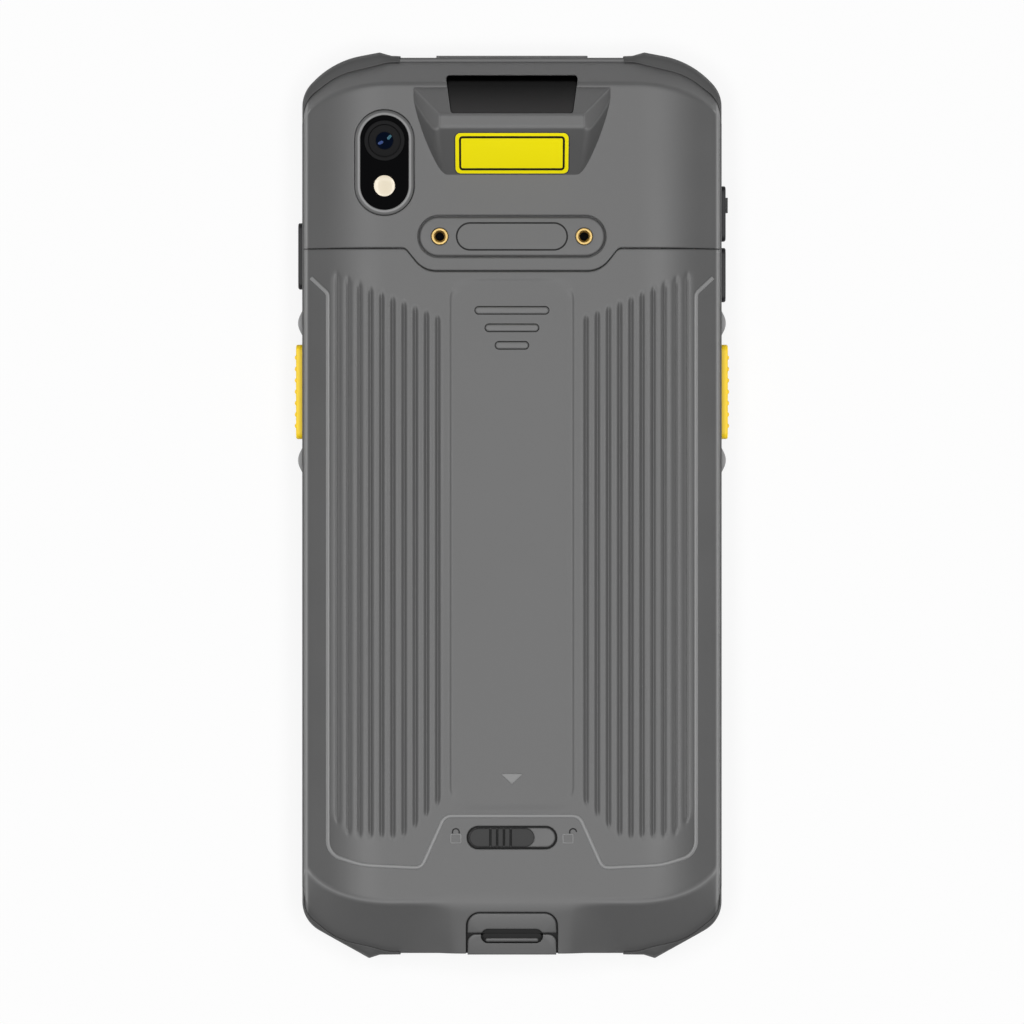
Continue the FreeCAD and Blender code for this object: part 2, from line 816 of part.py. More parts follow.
# Camera and flash under one dark window
LENS_Y = f"({CAMERA_Y} + camera_lens_offset)"
FLASH_Y = f"({CAMERA_Y} - flash_offset)"
WINDOW_TOP = f"({BACK} + camera_ring_height - 0.15)"
ring = without(
    "camera_ring",
    slab("camera_ring_outside", camera_hole, f"{BACK} - 2.4", "2.4 + camera_ring_height"),
    slab("camera_ring_inside", camera_glass, f"{BACK} - 3", "4"),
)
finish("camera_bezel", ring)
lens_hole = rod("lens_hole", ("camera_x", LENS_Y, f"{BACK} - 3"), "lens_window_radius", "5")
flash_hole = rod("flash_hole", ("camera_x", FLASH_Y, f"{BACK} - 3"), "flash_radius", "5")
window_blank = slab("camera_window_blank", camera_glass, f"{WINDOW_TOP} - 1.1", "1.1")
finish("camera_window", without("camera_window_cut", window_blank, lens_hole, flash_hole))
lens_glass_base = ("camera_x", LENS_Y, f"{WINDOW_TOP} - 0.8")
finish("camera_lens_glass", rod("lens_glass", lens_glass_base, "lens_window_radius", "0.75"))
flash_base = ("camera_x", FLASH_Y, f"{WINDOW_TOP} - 1.9")
finish("flash_lens", rod("flash_glass", flash_base, "flash_radius", "1.85"))
BOARD_TOP = f"({FLOOR} + standoff + board_thickness)"
module_square = rectangle("camera_x", LENS_Y, "camera_module_width", "camera_module_width", "0.6")
module_top = f"({BACK} - camera_module_drop)"
lens_base = ("camera_x", LENS_Y, f"{module_top} + 0.5")
lens_barrel = without(
    "lens_barrel",
    rod("barrel_outside", ("camera_x", LENS_Y, module_top), "lens_barrel_radius", "lens_barrel_height"),
    rod("barrel_inside", lens_base, f"lens_radius + {SLIVER}", "lens_barrel_height"),
)
module_block = slab("module_block", module_square, BOARD_TOP, f"{module_top} - {BOARD_TOP}")
finish("camera_module", joined("camera_module_body", module_block, lens_barrel))
finish("camera_lens", rod("camera_lens_disc", lens_base, "lens_radius", "lens_thickness"))
LED_Z = f"({WINDOW_TOP} - 3)"
finish("flash_led", joined(
    "flash_led_body",
    block(
        "flash_chip",
        ("camera_x - flash_chip_width / 2", "flash_chip_width"),
        (f"{FLASH_Y} - flash_chip_width / 2", "flash_chip_width"),
        (LED_Z, "1"),
    ),
    block(
        "flash_flex",
        ("camera_x - 1", "2"),
        (FLASH_Y, "camera_lens_offset + flash_offset - camera_module_width / 2"),
        (LED_Z, "0.3"),
    ),
))

# Battery cover: ribs, panel, beads, grip bars, arrow, lock slot and port recess


def skin(label, outside, inside):
    """The layer of the back between two insets."""
    return without(
        label,
        shell_solid(f"{label}_outside", outside, f"{SEAM} - 1"),
        shell_solid(f"{label}_inside", inside, f"{SEAM} - 2"),
    )


RIB_TOP = f"({END} - rib_field_from_top)"
RIB_LOW = f"(-{END} + rib_field_from_bottom)"


def rib_area(label, sign):
    """One ribbed field: its top edge slants, its lower edge dips and rises to the middle."""
    right_side = [
        ("rib_field_inner", f"{RIB_LOW} + rib_field_rise", None),
        ("rib_field_turn_inner", f"{RIB_LOW} - rib_field_dip", "rib_field_round"),
        ("rib_field_turn_outer", f"{RIB_LOW} - rib_field_dip", "rib_field_round"),
        ("rib_field_outer", f"{RIB_LOW} + rib_field_dip", None),
        ("rib_field_outer", RIB_TOP, None),
        ("rib_field_inner", f"{RIB_TOP} - rib_field_slant", None),
    ]
    corners = right_side if sign == "" else [(f"-({x})", y, r) for x, y, r in reversed(right_side)]
    return slab(label, corners, SEAM, "crown_height + 1")


grooves = []
for side in ("", "-"):
    name = "right" if side == "" else "left"
    bars = [
        block(
            f"groove_{name}_{i}",
            (f"{side}(rib_first + {i} * rib_pitch) - rib_groove / 2", "rib_groove"),
            (f"-{END}", "body_length"),
            (SEAM, "crown_height + 1"),
        )
        for i in range(int(SIZES["rib_count"]))
    ]
    field = rib_area(f"rib_area_{name}", side)
    grooves.append(shared(f"grooves_{name}", field, grouped(f"groove_bars_{name}", *bars)))

ribs_cut = shared("ribs_cut", joined("grooves", *grooves), skin("rib_skin", "-0.5", "rib_depth"))
panel_y = f"({END} - panel_from_top - panel_length / 2)"
panel_outline = rectangle("0", panel_y, "panel_width", "panel_length", "panel_round")
panel_cut = shared(
    "panel_cut",
    slab("panel_area", panel_outline, SEAM, "crown_height + 1"),
    skin("panel_skin", "-0.5", "panel_depth"),
)

BEAD_LOW = f"(-{END} + bead_from_bottom)"
BEAD_STEP = f"(-{END} + bead_from_bottom + bead_step)"
BEAD_TOP = f"({END} - bead_from_top)"
BEAD_FLARE = f"({END} - bead_from_top + bead_flare)"


def bead_area(label, grow):
    """The field inside the bead; its lower edge steps up over the lock."""
    right_side = [
        (f"bead_step_inner + 0.4 * ({grow})", f"{BEAD_STEP} - ({grow})", "1.2"),
        (f"bead_step_outer - 0.2 * ({grow})", f"{BEAD_LOW} - ({grow})", "2.5"),
        (f"bead_half_width + ({grow})", f"{BEAD_LOW} - ({grow})", "bead_round"),
        (f"bead_half_width + ({grow})", BEAD_TOP, None),
        (f"bead_half_width + bead_flare + ({grow})", BEAD_FLARE, None),
        ("body_width", BEAD_FLARE, None),
        ("body_width", "body_length", None),
    ]
    return slab(label, mirrored(right_side), SEAM, "crown_height + 1")


bead = shared(
    "bead",
    without("bead_path", bead_area("bead_outside", "bead_width"), bead_area("bead_inside", "0")),
    skin("bead_skin", "-bead_height", "shell_wall / 2"),
    cover_area("bead_side_of_seam", "seam_gap"),
)
bars = [
    slab(
        f"grip_bar_{i}",
        stadium("0", f"{END} - bar_from_top - {i} * bar_pitch", f"bar_length - {i} * bar_shortening",
                "bar_width"),
        f"{BACK} - shell_wall / 2",
        "shell_wall / 2 - panel_depth + mark_height",
    )
    for i in range(int(SIZES["bar_count"]))
]
ARROW_Y = f"(-{END} + arrow_from_bottom)"
arrow = slab(
    "arrow",
    [
        ("-arrow_width / 2", ARROW_Y, None),
        ("0", f"{ARROW_Y} - arrow_length", None),
        ("arrow_width / 2", ARROW_Y, None),
    ],
    f"{BACK} - shell_wall / 2",
    "shell_wall / 2 - panel_depth + mark_height / 2",
)

SLIDER_X = "(-slider_travel / 2)"
lock_slot = stadium("0", LOCK_Y, "lock_slot_width", "lock_slot_length")
stem_slot = block(
    "stem_slot",
    (f"{SLIDER_X} - lock_stem_width / 2 - slider_gap", "lock_stem_width + slider_travel + 2 * slider_gap"),
    (f"{LOCK_Y} - lock_stem_length / 2 - slider_gap", "lock_stem_length + 2 * slider_gap"),
    (f"{BACK} - 2 * shell_wall", "2 * shell_wall"),
)
port_gap = rectangle("0", f"-{END} - 1", "port_cover_width + 2 * port_cover_gap",
                     "2 * (port_cover_reach + port_cover_gap + 1)")
recess_outline = rectangle("0", f"-{END} - 5", "port_recess_width", "2 * (port_recess_reach + 5)",
                           "port_recess_round")
port_recess = shared(
    "port_recess",
    slab("port_recess_area", recess_outline, f"{SEAM} - 1", "crown_height + 2"),
    skin("port_recess_skin", "-0.5", "port_recess_depth"),
)
NAIL_Y = f"(-{END} + port_cover_reach - 0.1)"
nail_outline = stadium("0", NAIL_Y, "nail_slot_width", "nail_slot_length")
nail_slot = shared(
    "nail_slot",
    slab("nail_area", nail_outline, f"{SEAM} - 1.6", "crown_height"),
    skin("nail_skin", "-0.5", "port_recess_depth + nail_depth"),
)
hooks = []
for side, x in (("left", "-tongue_half_width - 1 - hook_width"), ("right", "tongue_half_width + 1")):
    hook_z = f"{BACK} - shell_wall - hook_drop"
    root_y = f"{SEAM_Y} - hook_root"
    hooks.append(block(f"hook_root_{side}", (x, "hook_width"), (root_y, "hook_root - 2 * seam_gap"),
                       (hook_z, "hook_drop + 0.1")))
    hooks.append(block(f"hook_{side}", (x, "hook_width"), (root_y, "hook_root + hook_reach"),
                       (hook_z, "hook_thickness")))
cover_panelled = without("cover_panelled", cover_shell, ribs_cut, panel_cut)
cover_body = joined("cover_body", cover_panelled, bead, arrow, *bars, *hooks)
finish("battery_cover", without(
    "cover_cut",
    cover_body,
    slab("lock_recess", lock_slot, f"{BACK} - lock_floor", "1"),
    stem_slot,
    slab("port_gap", port_gap, f"{SEAM} - 1", "crown_height"),
    port_recess,
    nail_slot,
))

# Lock: the slider outside, the bolt inside, the leaf that holds it and the catch in the frame
slider_outline = stadium(SLIDER_X, LOCK_Y, "lock_slot_width - slider_travel - 2 * slider_gap",
                         "lock_slot_length - 2 * slider_gap")
slider_base = f"({BACK} - lock_floor + {SLIVER})"
slider_body = slab("slider_body", slider_outline, slider_base, f"lock_floor - {SLIVER} + slider_proud")
slider_ribs = [
    block(
        f"slider_rib_{i}",
        (f"{SLIDER_X} + ({i}) * slider_rib_pitch - slider_rib_width / 2", "slider_rib_width"),
        (f"{LOCK_Y} - slider_rib_length / 2", "slider_rib_length"),
        (BACK, "slider_proud + slider_rib_height - slider_gap"),
    )
    for i in (-1, 0, 1)
]
stem = block(
    "slider_stem",
    (f"{SLIDER_X} - lock_stem_width / 2", "lock_stem_width"),
    (f"{LOCK_Y} - lock_stem_length / 2", "lock_stem_length"),
    (f"{BACK} - shell_wall - 0.1", "shell_wall"),
)
finish("lock_slider", joined("slider", slider_body, stem, *slider_ribs))
BOLT_Z = f"({BACK} - shell_wall - 0.1 - bolt_thickness)"
FINGER_X = f"({SLIDER_X} - bolt_length / 2)"
bolt_plate = block(
    "bolt_plate",
    (FINGER_X, "bolt_length + bolt_tail"),
    (f"{LOCK_Y} - bolt_width / 2", "bolt_width"),
    (BOLT_Z, "bolt_thickness"),
)
finger = block(
    "bolt_finger",
    (FINGER_X, "lock_finger_width"),
    (f"{LOCK_Y} - lock_finger_length / 2", "lock_finger_length"),
    (f"{BOLT_Z} - lock_finger_drop", "lock_finger_drop + 0.1"),
)
finish("lock_bolt", joined("bolt", bolt_plate, finger))
detent_y = f"{LOCK_Y} + bolt_width / 2 + detent_thickness"
detent_z = f"{BACK} - shell_wall - 0.1 - detent_width"
finish("lock_detent", joined(
    "detent_spring",
    block("detent_foot", ("6.4", "3"), (detent_y, "6 * detent_thickness"), (detent_z, "detent_width + 0.1")),
    block("detent_leaf", ("-4", "13.4"), (detent_y, "detent_thickness"), (detent_z, "detent_width")),
))
CATCH_X = f"({FINGER_X} - lock_catch_gap)"
catch_cut = block(
    "catch_slot",
    (CATCH_X, "2 * slider_travel"),
    (f"{LOCK_Y} - lock_finger_length / 2 - lock_catch_gap", "lock_finger_length + 2 * lock_catch_gap"),
    (f"{BOLT_Z} - lock_finger_drop - lock_catch_gap", "crown_height"),
)
catch_body = block(
    "catch_post",
    (f"{CATCH_X} - lock_catch_wall", "lock_finger_width + lock_catch_wall + 2 * lock_catch_gap"),
    (f"{LOCK_Y} - lock_finger_length / 2 - lock_catch_gap - lock_catch_wall",
     "lock_finger_length + 2 * (lock_catch_gap + lock_catch_wall)"),
    (FLOOR, f"{BOLT_Z} - {FLOOR} - lock_catch_gap"),
)
finish("lock_catch", without("catch", catch_body, catch_cut))

# Frame tray with its four corner bumpers and the battery bay
frame_square = slab("frame_square", rim_outline(), "bezel_height", "frame_height")
rim_low, rim_high = number("bezel_height"), number(SEAM)
frame_blank = rounded(
    "frame_blank", frame_square, "rim_round",
    lambda edge: flat_at("Z", rim_low)(edge) or flat_at("Z", rim_high)(edge),
)
frame_room = slab("frame_room", shell_outline("frame_wall - rim_step"), FLOOR, "frame_height")
top_pad = block(
    "top_pad",
    ("-top_pad_width / 2", "top_pad_width"),
    (f"{END} - 1", "1 + top_pad_rise"),
    ("bezel_height + top_pad_edge", "frame_height - 2 * top_pad_edge"),
)
bumper_ring = without(
    "bumper_ring",
    frame_blank,
    slab("bumper_inside", rim_outline("bumper_thickness"), "bezel_height - 1", "frame_height + 2"),
)
zone_start = f"({HALF} - ear_inset - ear_ramp - 1)"
zone_width = "ear_inset + ear_ramp + 2"
bumpers = []
for end, y in (("top", f"{END} - bumper_reach"), ("bottom", f"-{END} - ear_rise - 1")):
    for side, x in (("left", f"-{zone_start} - ({zone_width})"), ("right", zone_start)):
        place = f"{end}_{side}"
        zone_y = (y, "bumper_reach + ear_rise + 1")
        zone = block(f"zone_{place}", (x, zone_width), zone_y, ("0", "body_width"))
        bumpers.append(finish(f"bumper_{place}", shared(f"corner_{place}", bumper_ring, zone)))

BATTERY_TOP = f"({END} - battery_from_top)"
BATTERY_Y = f"({BATTERY_TOP} - battery_length / 2)"
BATTERY_Z = f"({FLOOR} + battery_lift)"
BAY_HEIGHT = f"(battery_lift + battery_height + bay_wall_gap)"


def bay(label, grow, start, height, round_):
    """A block over the battery, grown sideways."""
    width, length = f"battery_width + 2 * ({grow})", f"battery_length + 2 * ({grow})"
    return slab(label, rectangle("0", BATTERY_Y, width, length, round_), start, height)


contact_z = f"({BOARD_TOP} + contact_height / 2)"
flex_z = f"({FLOOR} + 0.03)"
bay_ring = without(
    "bay_ring",
    bay("bay_outside", "bay_gap + bay_wall", FLOOR, BAY_HEIGHT, "battery_round + bay_wall"),
    bay("bay_inside", "bay_gap", f"{FLOOR} - 1", f"{BAY_HEIGHT} + 2", "battery_round"),
    block(
        "contact_opening",
        ("-contact_width / 2 - contact_opening_gap", "contact_width + 2 * contact_opening_gap"),
        (f"{BATTERY_TOP} - 1", "2 * (bay_gap + bay_wall)"),
        (
            f"{contact_z} - contact_height / 2 - contact_opening_gap",
            "contact_height + 2 * contact_opening_gap",
        ),
    ),
    block(
        "flex_opening",
        ("flex_x - flex_width / 2 - 0.2", "flex_width + 0.4"),
        (f"-{END}", "body_length"),
        (f"{FLOOR} - 0.5", "0.5 + battery_lift"),
    ),
)

KEYS = (
    ("left_key", "-", "left_key_from_top", "left_key_length", "key_proud"),
    ("left_scan_key", "-", "scan_key_from_top", "scan_key_length", "scan_key_proud"),
    ("right_upper_key", "", "upper_key_from_top", "upper_key_length", "key_proud"),
    ("right_lower_key", "", "lower_key_from_top", "lower_key_length", "key_proud"),
    ("right_scan_key", "", "scan_key_from_top", "scan_key_length", "scan_key_proud"),
)
KEY_Z = f"({FLOOR} + (frame_height - floor_thickness) / 2)"
WALL_X = f"({HALF} - frame_wall - 0.1)"
SWITCH_X = f"({WALL_X} - key_flange - key_travel - switch_gap - switch_depth)"
FLEX_X = f"({SWITCH_X} - key_flex_thickness)"
key_slots, switches, guards = [], [], []


def beside(side, start, width):
    """A span along X on the right, or its mirror image on the left."""
    return (start, width) if side == "" else (f"-({start}) - ({width})", width)


for name, side, from_top, length, proud in KEYS:
    y = f"({END} - {from_top})"
    stem_x = beside(side, f"{WALL_X} - key_flange", f"{HALF} + {proud} - {WALL_X} + key_flange")
    flange_x = beside(side, f"{WALL_X} - key_flange", "key_flange")
    slot_x = beside(side, f"{WALL_X} - 1", "frame_wall + 3")
    switch_x = beside(side, SWITCH_X, "switch_depth")
    cap = slab(f"{name}_stem", rectangle(y, KEY_Z, length, "key_height", "key_round"), *stem_x, "YZ_Plane")
    face = number(f"{HALF} + {proud}") * (1 if side == "" else -1)
    parts = [rounded(f"{name}_cap", cap, "key_edge", flat_at("X", face))]
    parts.append(slab(
        f"{name}_flange",
        rectangle(y, KEY_Z, f"{length} + 2 * key_flange_lip", "key_height + 2 * key_flange_lip", "key_round"),
        *flange_x, "YZ_Plane",
    ))
    if "scan" in name:
        for i in range(int(SIZES["grip_count"])):
            grip_y = f"{y} + ({i} - (grip_count - 1) / 2) * grip_pitch"
            grip_x = f"{side}({HALF} + {proud} - grip_sink)"
            grip_z = f"{KEY_Z} - key_height / 2 + grip_edge"
            parts.append(rod(f"{name}_grip_{i}", (grip_x, grip_y, grip_z), "grip_radius",
                             "key_height - 2 * grip_edge"))
        for place in ("-", ""):
            guard_y = f"({y} + {place}({length} / 2 + guard_from_key))"
            foot, peak = f"{side}({HALF} - 0.6)", f"{side}({HALF} + guard_proud + 0.35)"
            shape = [
                (foot, f"{guard_y} - guard_length / 2", None),
                (peak, guard_y, "guard_round"),
                (foot, f"{guard_y} + guard_length / 2", None),
            ]
            label = f"guard_{name}_{'low' if place else 'high'}"
            outline = shape if side == "" else shape[::-1]
            guards.append(slab(label, outline, f"{FLOOR} + 0.4", "frame_height - 2"))
    if name == "right_upper_key":
        parts.append(block("upper_key_nub", (f"{HALF} + key_proud - 0.2", "0.6"),
                           (f"{y} + 0.2", "key_nub_length"), (f"{KEY_Z} - 1", "2")))
    finish(name, joined(f"{name}_body", *parts))
    key_slots.append(slab(
        f"{name}_slot",
        rectangle(y, KEY_Z, f"{length} + 2 * key_gap", "key_height + 2 * key_gap", "key_round + key_gap"),
        *slot_x, "YZ_Plane",
    ))
    switches.append(block(f"{name}_switch", switch_x, (f"{y} - switch_length / 2", "switch_length"),
                          (f"{KEY_Z} - switch_height / 2", "switch_height")))
finish("key_guards", grouped("guards", *guards))
finish("key_switches", grouped("switches", *switches))
key_flex_y = (f"{END} - scan_key_from_top - 6", "scan_key_from_top - upper_key_from_top + 10")
key_flex_z = (f"{KEY_Z} - key_flex_height / 2", "key_flex_height")
flexes = [
    block(f"key_flex_{name}", beside(side, FLEX_X, "key_flex_thickness"), key_flex_y, key_flex_z)
    for side, name in (("-", "left"), ("", "right"))
]
finish("key_flexes", grouped("flexes", *flexes))

screw_ends = (f"-{END} + screw_from_end", f"{END} - screw_from_end")
screw_places = [(x, y) for x in ("-screw_x", "screw_x") for y in screw_ends]


def screw_rods(label, radius, start, length):
    """One rod at each screw's place."""
    return [rod(f"{label}_{i}", (x, y, start), radius, length) for i, (x, y) in enumerate(screw_places)]


FRONT_Y = f"({END} - front_parts_from_top)"
GLASS_TOP = "(glass_recess + glass_thickness)"
HINGE_Y = f"(-{END} + hinge_radius)"
HINGE_Z = "(bezel_height + hinge_radius + 0.3)"
pin_length = "port_cover_width + 3"
port_opening = block(
    "port_opening",
    ("-port_cover_width / 2 - port_cover_gap", "port_cover_width + 2 * port_cover_gap"),
    (f"-{END} - 1", "1 + 2 * hinge_radius + 0.3"),
    ("bezel_height - 1", "frame_height + 2"),
)
pin_base = (f"-({pin_length}) / 2", HINGE_Y, HINGE_Z)
pin_bore = rod("pin_bore", pin_base, "hinge_pin_radius", pin_length, "X")
frame_body = joined("frame_body", without("frame_tray", frame_blank, frame_room), top_pad, bay_ring)
finish("mid_frame", without(
    "frame_cut",
    frame_body,
    port_opening,
    pin_bore,
    grouped("corners", *bumpers),
    *key_slots,
    grouped("guard_seats", *guards),
    *screw_rods("frame_screw_hole", "screw_radius + 0.1", "0", BACK),
    rod("front_lens_seat", ("front_lens_x", FRONT_Y, "bezel_height - 1"), "front_lens_radius + 1.1",
        "crown_height"),
))
seal_z = f"{FLOOR} + {BAY_HEIGHT} + seal_gap"
seal_ring = without(
    "seal_ring",
    bay("seal_outside", "bay_gap + bay_wall", seal_z, "crown_height", "battery_round + bay_wall"),
    bay("seal_inside", "bay_gap", FLOOR, "3 * crown_height", "battery_round"),
)
seal_limit = shell_solid("seal_limit", "shell_wall", f"{SEAM} - 1")
finish("cover_seal", shared("seal_fitted", seal_ring, seal_limit))

# Display side: bezel, cover glass, panel, earpiece and front camera
bezel_blank = slab("bezel_blank", shell_outline(), "0", "bezel_height")
bezel_round = rounded("bezel_round", bezel_blank, "bezel_round", flat_at("Z", 0))
pocket_outline = rectangle(
    "0", "0", "glass_width + 2 * glass_gap", "glass_length + 2 * glass_gap", "glass_round + glass_gap"
)
glass_pocket = slab("glass_pocket", pocket_outline, "-1", f"1 + {GLASS_TOP}")
panel_pocket = block(
    "panel_pocket",
    ("-display_width / 2 - display_gap", "display_width + 2 * display_gap"),
    ("-display_length / 2 - display_gap", "display_length + 2 * display_gap"),
    ("0", "bezel_height + 1"),
)
earpiece_seat = block(
    "earpiece_seat",
    ("-earpiece_width / 2 - front_part_gap", "earpiece_width + 2 * front_part_gap"),
    (f"{FRONT_Y} - earpiece_length / 2 - front_part_gap", "earpiece_length + 2 * front_part_gap"),
    ("0", "bezel_height + 1"),
)
finish("front_bezel", without(
    "bezel_cut",
    bezel_round,
    glass_pocket,
    panel_pocket,
    earpiece_seat,
    rod("front_camera_seat", ("front_lens_x", FRONT_Y, "0"), "front_lens_radius + 1", "bezel_height + 1"),
    *screw_rods("bezel_screw_hole", "screw_radius", GLASS_TOP, BACK),
))
glass_outline = rectangle("0", "0", "glass_width", "glass_length", "glass_round")
earpiece_slot = stadium("0", FRONT_Y, "earpiece_width - 1", "earpiece_slot_length")
finish("display_glass", without(
    "glass_cut",
    slab("glass_blank", glass_outline, "glass_recess", "glass_thickness"),
    slab("earpiece_opening", earpiece_slot, "0", "bezel_height"),
))
finish("display_panel", block(
    "panel",
    ("-display_width / 2", "display_width"),
    ("-display_length / 2", "display_length"),
    (GLASS_TOP, "display_thickness"),
))
finish("earpiece", block(
    "earpiece_unit",
    ("-earpiece_width / 2", "earpiece_width"),
    (f"{FRONT_Y} - earpiece_length / 2", "earpiece_length"),
    (GLASS_TOP, f"bezel_height - {GLASS_TOP}"),
))
finish("front_camera", joined(
    "front_camera_body",
    rod("front_camera_lens", ("front_lens_x", FRONT_Y, GLASS_TOP), "front_lens_radius",
        f"bezel_height - {GLASS_TOP} + 0.2"),
    rod("front_camera_base", ("front_lens_x", FRONT_Y, "bezel_height"), "front_lens_radius + 1",
        "floor_thickness + standoff - 0.1"),
))

# Battery, its spring contacts, and the flex that joins the two boards under it
battery_blank = bay("battery_blank", "0", BATTERY_Z, "battery_height", "battery_round")
battery_top = number(f"{BATTERY_Z} + battery_height")
battery_low = number(BATTERY_Z)
finish("battery_pack", rounded(
    "battery_rounded", battery_blank, "battery_edge",
    lambda edge: flat_at("Z", battery_top)(edge) or flat_at("Z", battery_low)(edge),
))
contact_base = block(
    "contact_base",
    ("-contact_width / 2", "contact_width"),
    (f"{BATTERY_TOP} + bay_gap + bay_wall + 0.1", "contact_length"),
    (f"{contact_z} - contact_height / 2", "contact_height"),
)
contact_pins = [
    rod(
        f"contact_pin_{i}",
        (f"({i} - (contact_count - 1) / 2) * contact_pitch", f"{BATTERY_TOP} + 0.02", contact_z),
        "contact_radius",
        "bay_gap + bay_wall + 0.5",
        "Y",
    )
    for i in range(int(SIZES["contact_count"]))
]
finish("battery_contacts", joined("contact_unit", contact_base, *contact_pins))
BOARD_Z = f"({FLOOR} + standoff)"
PORT_Y = f"(-{END} + connector_setback)"
SUB_END = f"({PORT_Y} + 2.2 + sub_board_length)"
PLUG_Y = f"({BATTERY_TOP} + bay_gap + bay_wall + 2.2)"
finish("board_flex", joined(
    "board_flex_body",
    block(
        "flex_run",
        ("flex_x - flex_width / 2", "flex_width"),
        (f"{SUB_END} - 0.6", f"{PLUG_Y} + flex_plug_length - {SUB_END} + 0.6"),
        (flex_z, "flex_thickness"),
    ),
    block(
        "flex_upper_plug",
        ("flex_x - flex_plug_width / 2", "flex_plug_width"),
        (PLUG_Y, "flex_plug_length"),
        (flex_z, f"{BOARD_Z} - {flex_z}"),
    ),
))

# Main board with its shields, card socket, and the scan engine on its bracket
main_board_y = f"({END} - main_board_from_top - main_board_length)"
finish("main_board", block(
    "main_board_plate",
    ("-main_board_width / 2", "main_board_width"),
    (main_board_y, "main_board_length"),
    (BOARD_Z, "board_thickness"),
))
cans = []
for side, x in (("left", "-main_board_width / 2 + 1"), ("right", "main_board_width / 2 - can_width - 1")):
    y = f"({main_board_y} + 3)"
    cans.append(without(
        f"can_{side}",
        block(f"can_outside_{side}", (x, "can_width"), (y, "can_length"), (BOARD_TOP, "can_height")),
        block(f"can_inside_{side}", (f"{x} + can_wall", "can_width - 2 * can_wall"),
              (f"{y} + can_wall", "can_length - 2 * can_wall"), (BOARD_TOP, "can_height - can_wall")),
    ))
finish("shield_cans", grouped("cans", *cans))
finish("processor", block(
    "processor_chip",
    ("main_board_width / 2 - can_width", "processor_width"),
    (f"{main_board_y} + 5", "processor_width"),
    (BOARD_TOP, "can_height - can_wall - processor_gap"),
))
finish("card_socket", block(
    "card_socket_body",
    ("-8", "card_socket_width"),
    (f"{main_board_y} + 4", "card_socket_length"),
    (BOARD_TOP, "card_socket_height"),
))
ENGINE_Y = f"({END} - engine_from_top - engine_length)"
ENGINE_Z = f"({BOARD_TOP} + engine_lift)"
ENGINE_FACE = f"({ENGINE_Y} + engine_length)"
engine_y = (ENGINE_Y, "engine_length")
bracket_legs = [
    block(f"bracket_leg_{side}", (x, "engine_bracket_leg"), engine_y, (BOARD_TOP, "engine_lift - 0.5"))
    for side, x in (
        ("left", "-engine_bracket_width / 2"),
        ("right", "engine_bracket_width / 2 - engine_bracket_leg"),
    )
]
bracket_plate = block(
    "bracket_plate",
    ("-engine_bracket_width / 2", "engine_bracket_width"),
    engine_y,
    (f"{ENGINE_Z} - engine_bracket_wall", "engine_bracket_wall"),
)
finish("scan_engine_bracket", joined("bracket_body", bracket_plate, *bracket_legs))
engine_x = ("-engine_width / 2", "engine_width")
finish("scan_engine", block("scan_engine_case", engine_x, engine_y, (ENGINE_Z, "engine_height")))
eye_z = f"({ENGINE_Z} + engine_height / 2)"
finish("scan_lens", rod(
    "scan_lens_disc", ("scan_lens_x", ENGINE_FACE, eye_z), "scan_lens_radius", "0.8", "Y"
))
finish("aiming_lens", rod(
    "aiming_lens_disc", ("aiming_lens_x", ENGINE_FACE, eye_z), "aiming_lens_radius", "0.6", "Y"
))

# Bottom board with the connector, and the loudspeaker, microphone and vibration motor
SUB_Z = f"({FLOOR} + sub_board_lift)"
SUB_TOP = f"({SUB_Z} + board_thickness)"
finish("sub_board", block(
    "sub_board_plate",
    ("-sub_board_width / 2", "sub_board_width"),
    (f"{PORT_Y} + 2.2", "sub_board_length"),
    (SUB_Z, "board_thickness"),
))
connector_z = f"{SUB_TOP} + connector_height / 2"
connector = stadium("0", connector_z, "connector_width", "connector_height")
mouth = stadium("0", connector_z, "connector_width - 2 * connector_wall",
                "connector_height - 2 * connector_wall")
port_axis = f"-({PORT_Y} + connector_length)"
finish("usb_connector", joined(
    "connector_unit",
    without(
        "connector_shell",
        slab("connector_outside", connector, port_axis, "connector_length", "XZ_Plane"),
        slab("connector_mouth", mouth, f"{port_axis} + 1", "connector_length + 1", "XZ_Plane"),
    ),
    block(
        "connector_tongue",
        ("-connector_tongue_width / 2", "connector_tongue_width"),
        (f"{PORT_Y} + 0.6", "connector_length - 1"),
        (f"{connector_z} - connector_tongue_height / 2", "connector_tongue_height"),
    ),
))
finish("microphone", block(
    "microphone_can",
    ("microphone_x - microphone_width / 2", "microphone_width"),
    (f"{PORT_Y} + 4", "microphone_length"),
    (SUB_TOP, "microphone_height"),
))
finish("speaker", block(
    "speaker_box",
    ("-sub_board_width / 2 - 2 - speaker_width", "speaker_width"),
    (f"-{END} + 5", "speaker_length"),
    (FLOOR, "speaker_height"),
))
motor_base = ("sub_board_width / 2 + 1 + motor_radius", f"-{END} + 10.5", FLOOR)
finish("vibration_motor", rod("motor_coin", motor_base, "motor_radius", "motor_height"))
finish("antennas", grouped("antenna_pair", *[
    block(
        f"antenna_{side}",
        (f"{x} - antenna_width / 2", "antenna_width"),
        (f"{SHELL_TOP} - frame_wall - 0.1", "antenna_thickness"),
        (f"{FLOOR} + 0.6", "antenna_height"),
    )
    for side, x in (("left", "-antenna_x"), ("right", "antenna_x"))
]))
finish("case_screws", grouped("screws", *[
    joined(f"screw_{i}", head, shank)
    for i, (head, shank) in enumerate(zip(
        screw_rods("screw_head", "screw_head_radius", FLOOR, "screw_head_height"),
        screw_rods("screw_shank", "screw_radius", f"{FLOOR} - 2", "2.5"),
    ))
]))

